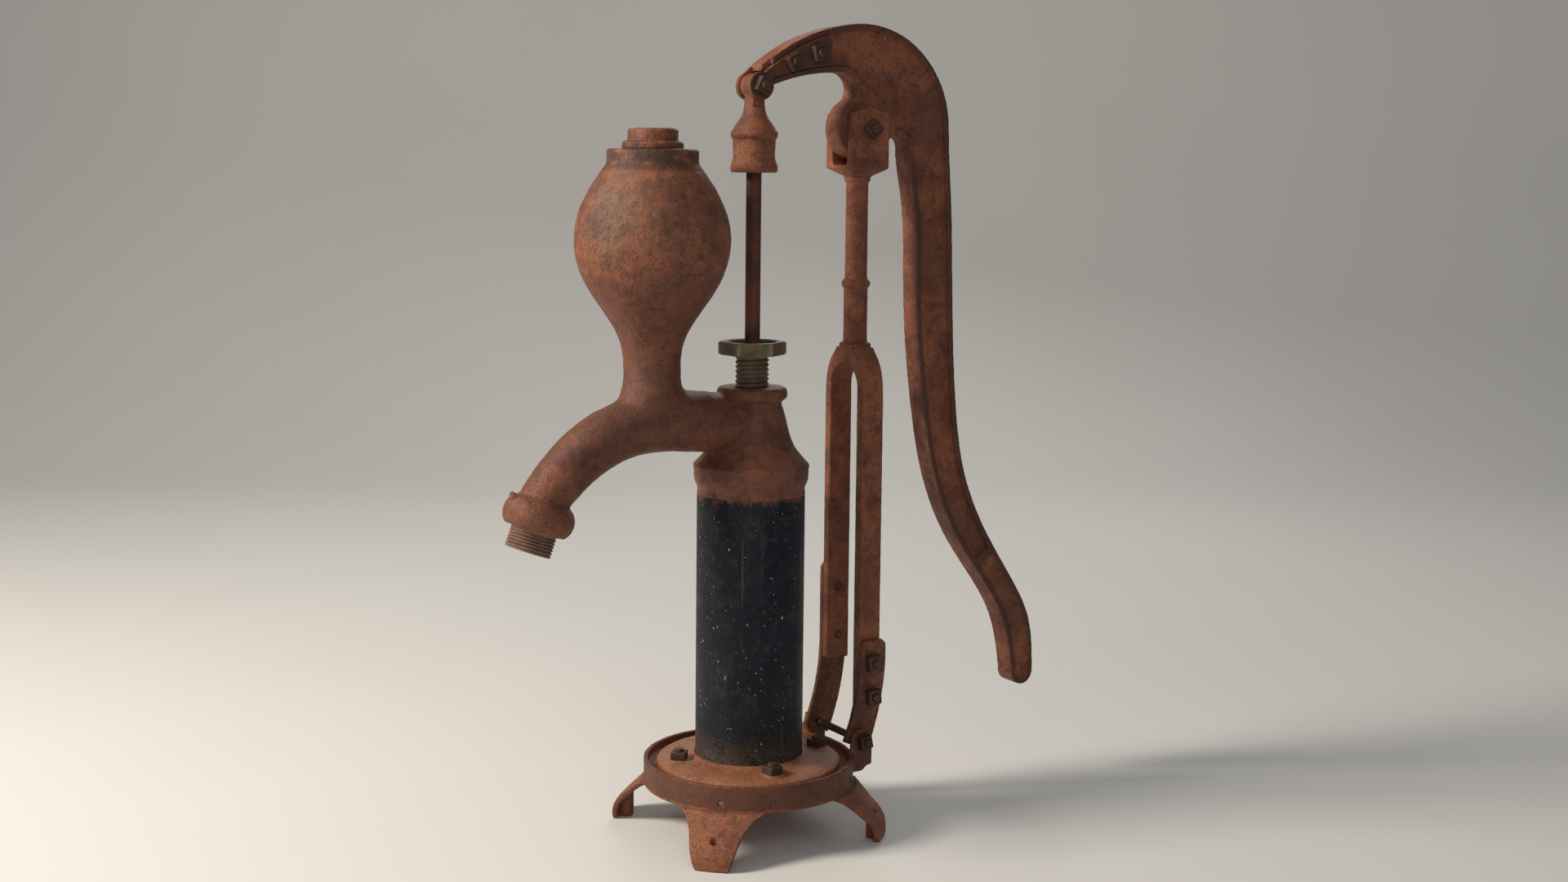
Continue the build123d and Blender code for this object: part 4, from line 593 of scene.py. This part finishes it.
def worn_metal(name, first, second, rub_and_highlight, metallic, roughness):
    """A metal in two cloudy colours, darkened in its hollows by dirt and painted shade, and lighter on its
    edges by rubbing and a painted highlight.
    """
    finish = Finish(name)
    cloud = finish.noise(60.0, 8.0, 0.68, twist=0.5)
    grain = finish.noise(700.0, 4.0, 0.65)
    edges = finish.edges()
    color = finish.blend(first, second, finish.step(cloud, 0.40, 0.60))
    color = finish.blend(color, SOOT_AND_SHADE, finish.step(grain, 0.53, 0.66) * 0.6)
    # a painted highlight with rubbed wear lightens the edges
    color = finish.blend(color, rub_and_highlight, finish.step(edges, 0.52, 0.60) * 0.6)
    # painted shade and dirt darken the hollows
    color = finish.blend(color, SOOT_AND_SHADE, finish.step(edges, 0.49, 0.43) * 0.8)
    finish.bump(cloud * 0.6 + grain * 0.4, METAL_RELIEF, 0.5)
    rough = roughness + (cloud - 0.5) * 0.3 + (grain - 0.5) * 0.2
    return finish.surface(Base_Color=color, Roughness=rough, Metallic=metallic, Specular_IOR_Level=0.3)


metals = [worn_metal(name, *row) for name, row in METALS.items()]
bronze, nut_iron, rod_steel, nipple_iron, valve_brass = metals
print(len(METALS), "metals")

# %% [markdown]
# Leather, rubber and flax lie inside the pump. They are cloudy in colour and fibrous in relief. The
# floor is a pale sheet of paper with hardly a cloud in it.

# %% Soft finishes
FIBRE_RELIEF = 0.0006
# name: (first colour, second colour, roughness)
SOFTS = {
    "cup_leather": ((0.16, 0.085, 0.045), (0.07, 0.038, 0.022), 0.7),
    "gasket_rubber": ((0.030, 0.030, 0.032), (0.018, 0.018, 0.018), 0.8),
    "packing_flax": ((0.40, 0.34, 0.23), (0.24, 0.20, 0.13), 0.9),
}
PAPER = ((0.64, 0.635, 0.62), (0.68, 0.675, 0.66))


def soft_finish(name, first, second, roughness):
    """A fibrous finish in two colours."""
    finish = Finish(name)
    cloud = finish.noise(90.0, 6.0, 0.6)
    fibre = finish.noise(800.0, 5.0, 0.7)
    color = finish.blend(first, second, finish.step(cloud * 0.5 + fibre * 0.5, 0.4, 0.6))
    finish.bump(fibre, FIBRE_RELIEF, 0.6)
    return finish.surface(Base_Color=color, Roughness=roughness)


leather, rubber, flax = [soft_finish(name, *row) for name, row in SOFTS.items()]
paper = Finish("studio_paper")
paper.surface(Base_Color=paper.blend(*PAPER, paper.noise(2.0, 3.0, 0.5)), Roughness=0.9)
floor.data.materials.append(paper.material)
print(len(SOFTS), "soft materials and paper")

# %% [markdown]
# ## Skin of the castings
#
# An exact solid has edges as sharp as a knife, and iron poured into sand never does. A Weld modifier
# joins the solid's faces into one skin, and a Bevel rounds its sharp edges. For a casting, a Remesh
# then rebuilds the skin from small cubes, a Smooth softens every edge a little more, and two Displace
# modifiers push the skin in and out by cloud textures: wide ones for the hammered look of old castings
# and fine ones for the sand. As modifiers they leave the solid's own mesh as it came.

# %% Skin builder
WELD_REACH = 0.00002
BEVEL_FROM = math.radians(32.0)
SOFTEN_ROUNDS = 2


def cloud_texture(name, size):
    texture = bpy.data.textures.new(name, "CLOUDS")
    texture.noise_scale = size
    texture.noise_depth = 3
    return texture


lumps = cloud_texture("lumps", 0.020)
sand = cloud_texture("sand", 0.0040)


def round_edges(node, width):
    """Joins the solid's faces into one skin and rounds its sharp edges."""
    piece = nodes[node]
    weld = piece.modifiers.new("one_skin", "WELD")
    weld.merge_threshold = WELD_REACH
    bevel = piece.modifiers.new("worn_edges", "BEVEL")
    bevel.width = width
    bevel.segments = 2
    bevel.limit_method = "ANGLE"
    bevel.angle_limit = BEVEL_FROM
    return piece


def cast_skin(node, voxel, width, lump, grit):
    """Gives a node the even mesh and the uneven skin of a sand casting."""
    piece = round_edges(node, width)
    remesh = piece.modifiers.new("even_skin", "REMESH")
    remesh.mode = "VOXEL"
    remesh.voxel_size = voxel
    remesh.use_smooth_shade = True
    smooth = piece.modifiers.new("soften", "SMOOTH")
    smooth.factor = 0.5
    smooth.iterations = SOFTEN_ROUNDS
    for texture, strength in ((lumps, lump), (sand, grit)):
        press = piece.modifiers.new("press_" + texture.name, "DISPLACE")
        press.texture = texture
        press.texture_coords = "GLOBAL"
        press.strength = strength
        press.mid_level = 0.5


print("lumps of", lumps.noise_scale, "m and sand of", round(sand.noise_scale, 4), "m")

# %% [markdown]
# The larger castings each have their own depths. Nuts and bolts are small, so their skin is fine and
# nearly even. Pieces that were turned or cut, and what lies inside the pump, only have their edges
# rounded.

# %% Skins by node
# node: (size of the small cubes, width of the rounded edges, depth of the lumps, depth of the sand)
SKINS = {
    "head_casting": (0.0016, 0.0020, 0.0012, 0.0006),
    "lever": (0.0010, 0.0012, 0.0006, 0.0004),
    "fulcrum_post": (0.0010, 0.0012, 0.0005, 0.0004),
    "base_ring": (0.0011, 0.0010, 0.0006, 0.0004),
    "base_flange": (0.0012, 0.0014, 0.0010, 0.0005),
    "crosshead": (0.0007, 0.0008, 0.0003, 0.0003),
    "vessel_plug": (0.0008, 0.0016, 0.0008, 0.0005),
    "side_plate": (0.0007, 0.0009, 0.0004, 0.0003),
    "near_strap": (0.0007, 0.0007, 0.0005, 0.0004),
    "far_strap": (0.0007, 0.0007, 0.0005, 0.0004),
}
SMALL_SKIN = (0.0005, 0.0006, 0.0002, 0.0001)
PLAIN = ("barrel_gasket", "foot_valve_seat", "foot_valve", "plunger_body", "plunger_follower",
         "plunger_valve", "cup_leather", "rod_nut", "valve_stop", "packing_rings", "barrel",
         "piston_rod", "gland_follower", "gland_nut", "spout_nipple")
PLAIN_EDGE = 0.0003
for node in nodes:
    if node in PLAIN:
        round_edges(node, PLAIN_EDGE)
    else:
        cast_skin(node, *SKINS.get(node, SMALL_SKIN))
print(len(nodes) - len(PLAIN), "pieces have a casting's skin")

# %% [markdown]
# ## Round pieces and threads
#
# The new round pieces are all stacks of rings, joined one to the next, with the last joined to the
# first so that the skin is closed. A ring has a radius and a height, and its radius may change as it
# goes round, which makes a hexagon or a thread out of it.

# %% Ring builder
def ring_stack(name, rings, sides, spin=0.0):
    """A closed piece of stacked rings of (radius, height). A radius may be a function of the turn, which
    goes from 0 to 1."""
    mesh = bmesh.new()
    rows = []
    for size, z in rings:
        row = []
        for index in range(sides):
            angle = 2 * math.pi * index / sides + spin
            radius = size(index / sides) if callable(size) else size
            row.append(mesh.verts.new((radius * math.cos(angle), radius * math.sin(angle), z)))
        rows.append(row)
    for lower, upper in zip(rows, rows[1:] + rows[:1]):
        for index in range(sides):
            after = (index + 1) % sides
            mesh.faces.new((lower[index], lower[after], upper[after], upper[index]))
    bmesh.ops.recalc_face_normals(mesh, faces=mesh.faces)
    return smooth_piece(name, mesh)


print("round pieces come from", ring_stack.__name__)

# %% [markdown]
# A screw thread is one ridge that climbs as it goes round: the radius rises and falls with height, and
# the pattern is shifted by one pitch in a turn. It fades out at the ends, as a cut thread does.

# %% Thread builder
THREAD_SIDES = 72
RINGS_PER_PITCH = 8


def thread(name, crest, root, bore, start, end, pitch, plain=0.0, plain_radius=0.0):
    """A sleeve along Z, threaded from start to end, with an open bore and a plain shank below start."""
    middle = (crest + root) / 2

    def ridge_at(z):
        cut = min(1.0, min(z - start, end - z) / pitch)

        def radius_at(turn):
            phase = ((z - start) / pitch - turn) % 1.0
            ridge = min(1.0, max(0.0, 1.35 * abs(2.0 * phase - 1.0) - 0.15))
            return middle + (root + (crest - root) * ridge - middle) * cut

        return radius_at

    count = max(4, int(round((end - start) / pitch * RINGS_PER_PITCH)))
    heights = [start + (end - start) * index / count for index in range(count + 1)]
    shank = [(plain_radius, start - plain), (plain_radius, start)] if plain else []
    ridges = [(ridge_at(z), z) for z in heights]
    return ring_stack(name, [(bore, start - plain), *shank, *ridges, (bore, end)], THREAD_SIDES)


print("a thread has", RINGS_PER_PITCH, "rings to the pitch")

# %% [markdown]
# The nipple of the spout leans with the spout, so it is built upright first and then turned. Its
# place and direction come from the spout's mount in the record.

# %% Spout nipple
mounts = {mount["name"]: mount for mount in frame["record"]["mounts"]}
spout = mounts["spout_thread"]
spout_middle = Vector(spout["pos_m"])
spout_out = Vector(spout["axis"]).normalized()
NIPPLE_RADIUS = spout["dims"]["r_mm"] / 1000
NIPPLE_HALF = spout["dims"]["length_mm"] / 2000
NIPPLE_CREST = NIPPLE_RADIUS - 0.0001
NIPPLE_ROOT = NIPPLE_RADIUS - 0.0018
NIPPLE_BORE = NIPPLE_RADIUS - 0.0036
RELIEF_RADIUS = NIPPLE_RADIUS - 0.0009
NIPPLE_PITCH = 0.0032
RELIEF_LENGTH = 0.002                 # the plain neck between thread and collar
NIPPLE_SUNK = 0.012                   # how far that neck goes on into the collar
nipple = thread("nipple_thread", NIPPLE_CREST, NIPPLE_ROOT, NIPPLE_BORE, -NIPPLE_HALF, NIPPLE_HALF,
                NIPPLE_PITCH, plain=RELIEF_LENGTH + NIPPLE_SUNK, plain_radius=RELIEF_RADIUS)
lean = spout_out.to_track_quat("Z", "Y").to_matrix().to_4x4()
nipple.data.transform(Matrix.Translation(spout_middle) @ lean)
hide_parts("spout_nipple")
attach(nipple, "pump")
nipple.data.materials.append(nipple_iron)
print("nipple has", len(nipple.data.vertices), "points")

# %% [markdown]
# ## Gland nut
#
# It is a hexagon with a shallow oil cup in its top and a long threaded sleeve below. The radius of a
# hexagon is least in the middle of a side. The corners are turned off where the head begins and ends,
# as a lathe does it, so the radius has a limit there.

# %% Gland nut
def polygon_radius(corner, count, limit=math.inf):
    """Distance from the middle to the side of a regular polygon, but no more than a limit."""
    half = math.pi / count

    def radius_at(turn):
        # a corner lies at the start of the turn, so the middle of a side lies half a step on
        from_side = abs((2 * math.pi * turn + half) % (2 * half) - half) - half
        return min(corner * math.cos(half) / math.cos(from_side), limit)

    return radius_at


nut_low, nut_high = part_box("gland_nut")
HEAD_THICK = 0.0138
ROD_HOLE = 0.0083
NUT_TURN = math.radians(-25.6)        # as it was left when it was last tightened
GLAND_PITCH = 0.005
SLEEVE_RADIUS = 0.0177
SLEEVE_ROOT = SLEEVE_RADIUS - 0.0017
SLEEVE_SUNK = 0.0005                  # how far the sleeve goes up into the head
CUP_RADIUS = 0.0255
CUP_SLOPE = 0.0015
CUP_BEVEL = 0.001
CUP_DEPTH = 0.005
CHAMFER = 0.0012
CORNER_CUT = 0.0022
HEAD_SIDES = 144
head_low = nut_high.z - HEAD_THICK
head_corner = nut_high.x
hexagon = polygon_radius(head_corner, 6)
turned_hexagon = polygon_radius(head_corner, 6, head_corner - CORNER_CUT)

sleeve = thread("gland_thread", SLEEVE_RADIUS, SLEEVE_ROOT, ROD_HOLE, nut_low.z, head_low + SLEEVE_SUNK,
                GLAND_PITCH)
gland_head = ring_stack("gland_head", [
    (ROD_HOLE, head_low),
    (turned_hexagon, head_low),
    (hexagon, head_low + CHAMFER),
    (hexagon, nut_high.z - CHAMFER),
    (turned_hexagon, nut_high.z),
    (CUP_RADIUS + CUP_SLOPE, nut_high.z),
    (CUP_RADIUS, nut_high.z - CUP_BEVEL),
    (CUP_RADIUS - CUP_SLOPE, nut_high.z - CUP_DEPTH),
    (ROD_HOLE, nut_high.z - CUP_DEPTH),
], HEAD_SIDES, spin=NUT_TURN)
for piece in (sleeve, gland_head):
    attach(piece, "gland_screw")
    piece.data.materials.append(bronze)
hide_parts("gland_nut")
keep_edges(gland_head, 28.0)
print("gland head is", round(2 * head_corner * 1000, 1), "mm across its corners")

# %% [markdown]
# ## Heads of the far bolts
#
# The two bolts that hold the far strap have small domed heads on the inside of the fork, smaller than
# the solid's. A bolt is a stack of rings too: the dome is a quarter of a circle, squashed, and the
# shank follows it. It is built upright and then laid over along Y.

# %% Domed bolts
SOLID_HEAD_THICK = 0.003
DOME_RADIUS = 0.0046
DOME_RISE = 0.0026
DOME_STEPS = 5
DOME_TIP = 0.01                       # an angle that keeps the dome's first ring open
SHANK_RADIUS = 0.0040
SHANK_CHAMFER = 0.0008
SHANK_STEP = 0.0002                   # from the dome's edge to the shank
TIP_RADIUS = 0.0002
BOLT_SIDES = 32
bolt_low, bolt_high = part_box("far_strap_bolts")
solid_head = (bolt_high.x - bolt_low.x) / 2
seat = bolt_low.y + SOLID_HEAD_THICK

rings = []
for step in range(DOME_STEPS + 1):
    angle = math.radians(90 * step / DOME_STEPS)
    rings.append((DOME_RADIUS * math.sin(angle + DOME_TIP), seat - DOME_RISE * math.cos(angle)))
rings += [(SHANK_RADIUS, seat + SHANK_STEP), (SHANK_RADIUS, bolt_high.y - SHANK_CHAMFER),
          (SHANK_RADIUS - SHANK_CHAMFER, bolt_high.y), (TIP_RADIUS, bolt_high.y)]
lay_over = Matrix.Rotation(math.radians(-90.0), 4, "X")
for count, place_z in enumerate((bolt_low.z + solid_head, bolt_high.z - solid_head), 1):
    bolt = ring_stack("domed_bolt_%d" % count, rings, BOLT_SIDES)
    bolt.data.transform(Matrix.Translation((bolt_low.x + solid_head, 0.0, place_z)) @ lay_over)
    keep_edges(bolt, 40.0)
    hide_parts("far_strap_bolts")
    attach(bolt, "rocking_post")
    bolt.data.materials.append(nut_iron)
print("two bolts with heads of", 2000 * DOME_RADIUS, "mm")

# %% [markdown]
# ## Lip of the spout
#
# The small lip on the spout's collar stands on the side away from the barrel, and the solid carries it
# on the near side. The collar is round, so a copy of the skin turned half round the nozzle's axis shows
# where the surface should be: near both places, each point is slid along a ray from the collar's middle
# until it meets that turned copy, and the move fades out round about and towards the arm.

# %% Turned lip
COLLAR_MIDDLE_UP = 0.014              # from the collar's foot, against the nozzle's direction
LIP_UP = 0.0275                       # the same, to the lip
LIP_OUT = 0.0345                      # from the nozzle's axis
LIP_NEAR = 0.0115                     # nearer to the lip than this, a point goes all the way
LIP_FAR = 0.0165                      # farther than this, it stays
ARM_EDGE = 0.0275                     # a point nearer to the nozzle's axis stays, as it may be the arm's
ARM_FADE = 0.0015
RAY_START = 0.060                     # well outside the collar
collar_foot = spout_middle - spout_out * (NIPPLE_HALF + RELIEF_LENGTH)
collar_middle = collar_foot - spout_out * COLLAR_MIDDLE_UP
barrel_side = Vector((-spout_out.z, 0.0, spout_out.x))
lip_places = [collar_foot - spout_out * LIP_UP + barrel_side * LIP_OUT * side for side in (-1, 1)]

graph = bpy.context.evaluated_depsgraph_get()
skin = bpy.data.meshes.new_from_object(nodes["head_casting"].evaluated_get(graph))
half_turn = (Matrix.Translation(collar_middle) @ Matrix.Rotation(math.pi, 4, spout_out)
             @ Matrix.Translation(-collar_middle))
turned_skin = BVHTree.FromPolygons([half_turn @ point.co for point in skin.vertices],
                                   [face.vertices for face in skin.polygons])
moved = 0
for point in skin.vertices:
    reach = min((point.co - place).length for place in lip_places)
    across = (point.co - collar_middle).cross(spout_out).length
    if reach < LIP_FAR and across > ARM_EDGE:
        ray = (point.co - collar_middle).normalized()
        hit = turned_skin.ray_cast(collar_middle + ray * RAY_START, -ray, RAY_START)[0]
        if hit:
            share = min(1.0, (LIP_FAR - reach) / (LIP_FAR - LIP_NEAR), (across - ARM_EDGE) / ARM_FADE)
            point.co = point.co.lerp(hit, share)
            moved += 1
print("slid", moved, "of", len(skin.vertices), "points")

# %% [markdown]
# The neck of the air vessel runs into the arm with a wide hollow curve, where the solid has a crease.
# Many rounds of smoothing make that curve: each moves every point of the joint towards the middle of
# its neighbours. The finished skin then stands in for the head casting.

# %% Neck's foot
NECK_FOOT = Vector((vessel_axis.x, 0.0, 0.470))
NECK_HEIGHT = 0.024                   # up and down from there
NECK_REACH = 0.060                    # out from the vessel's axis
FILLET_ROUNDS = 90
soft = bmesh.new()
soft.from_mesh(skin)
joint = [point for point in soft.verts if abs(point.co.z - NECK_FOOT.z) < NECK_HEIGHT
         and (point.co - NECK_FOOT).xy.length < NECK_REACH]
for _ in range(FILLET_ROUNDS):
    bmesh.ops.smooth_vert(soft, verts=joint, factor=0.5, use_axis_x=True, use_axis_y=True, use_axis_z=True)
soft.to_mesh(skin)
soft.free()
head_skin = linked("head_skin", skin)
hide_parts("head_casting")
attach(head_skin, "pump")
skin.materials.clear()
skin.materials.append(vessel_iron)
print("the neck's foot is softened over", len(joint), "points")

# %% [markdown]
# ## Giving out the finishes
#
# Every node gets one finish. Its object may hold a material slot from the frame, which is
# overwritten rather than added to, so nothing of the plain colour is left.

# %% Finishes by node
FINISHES = {
    vessel_iron: ["head_casting", "vessel_plug"],
    lever_iron: ["lever", "side_plate"],
    post_iron: ["fulcrum_post", "crosshead"],
    base_iron: ["base_ring"],
    flange_iron: ["base_flange"],
    strap_iron: ["near_strap", "far_strap"],
    pipe_paint: ["barrel"],
    bronze: ["gland_follower", "gland_nut"],
    nipple_iron: ["spout_nipple"],
    rod_steel: ["piston_rod"],
    valve_brass: ["foot_valve_seat", "foot_valve", "plunger_body", "plunger_follower", "valve_stop",
                  "plunger_valve"],
    leather: ["cup_leather"],
    rubber: ["barrel_gasket"],
    flax: ["packing_rings"],
}
given = {node: material for material, members in FINISHES.items() for node in members}
for name, piece in nodes.items():
    piece.data.materials.clear()
    piece.data.materials.append(given.get(name, nut_iron))
print(len(given), "nodes by name, the other", len(nodes) - len(given), "are nuts and bolts")
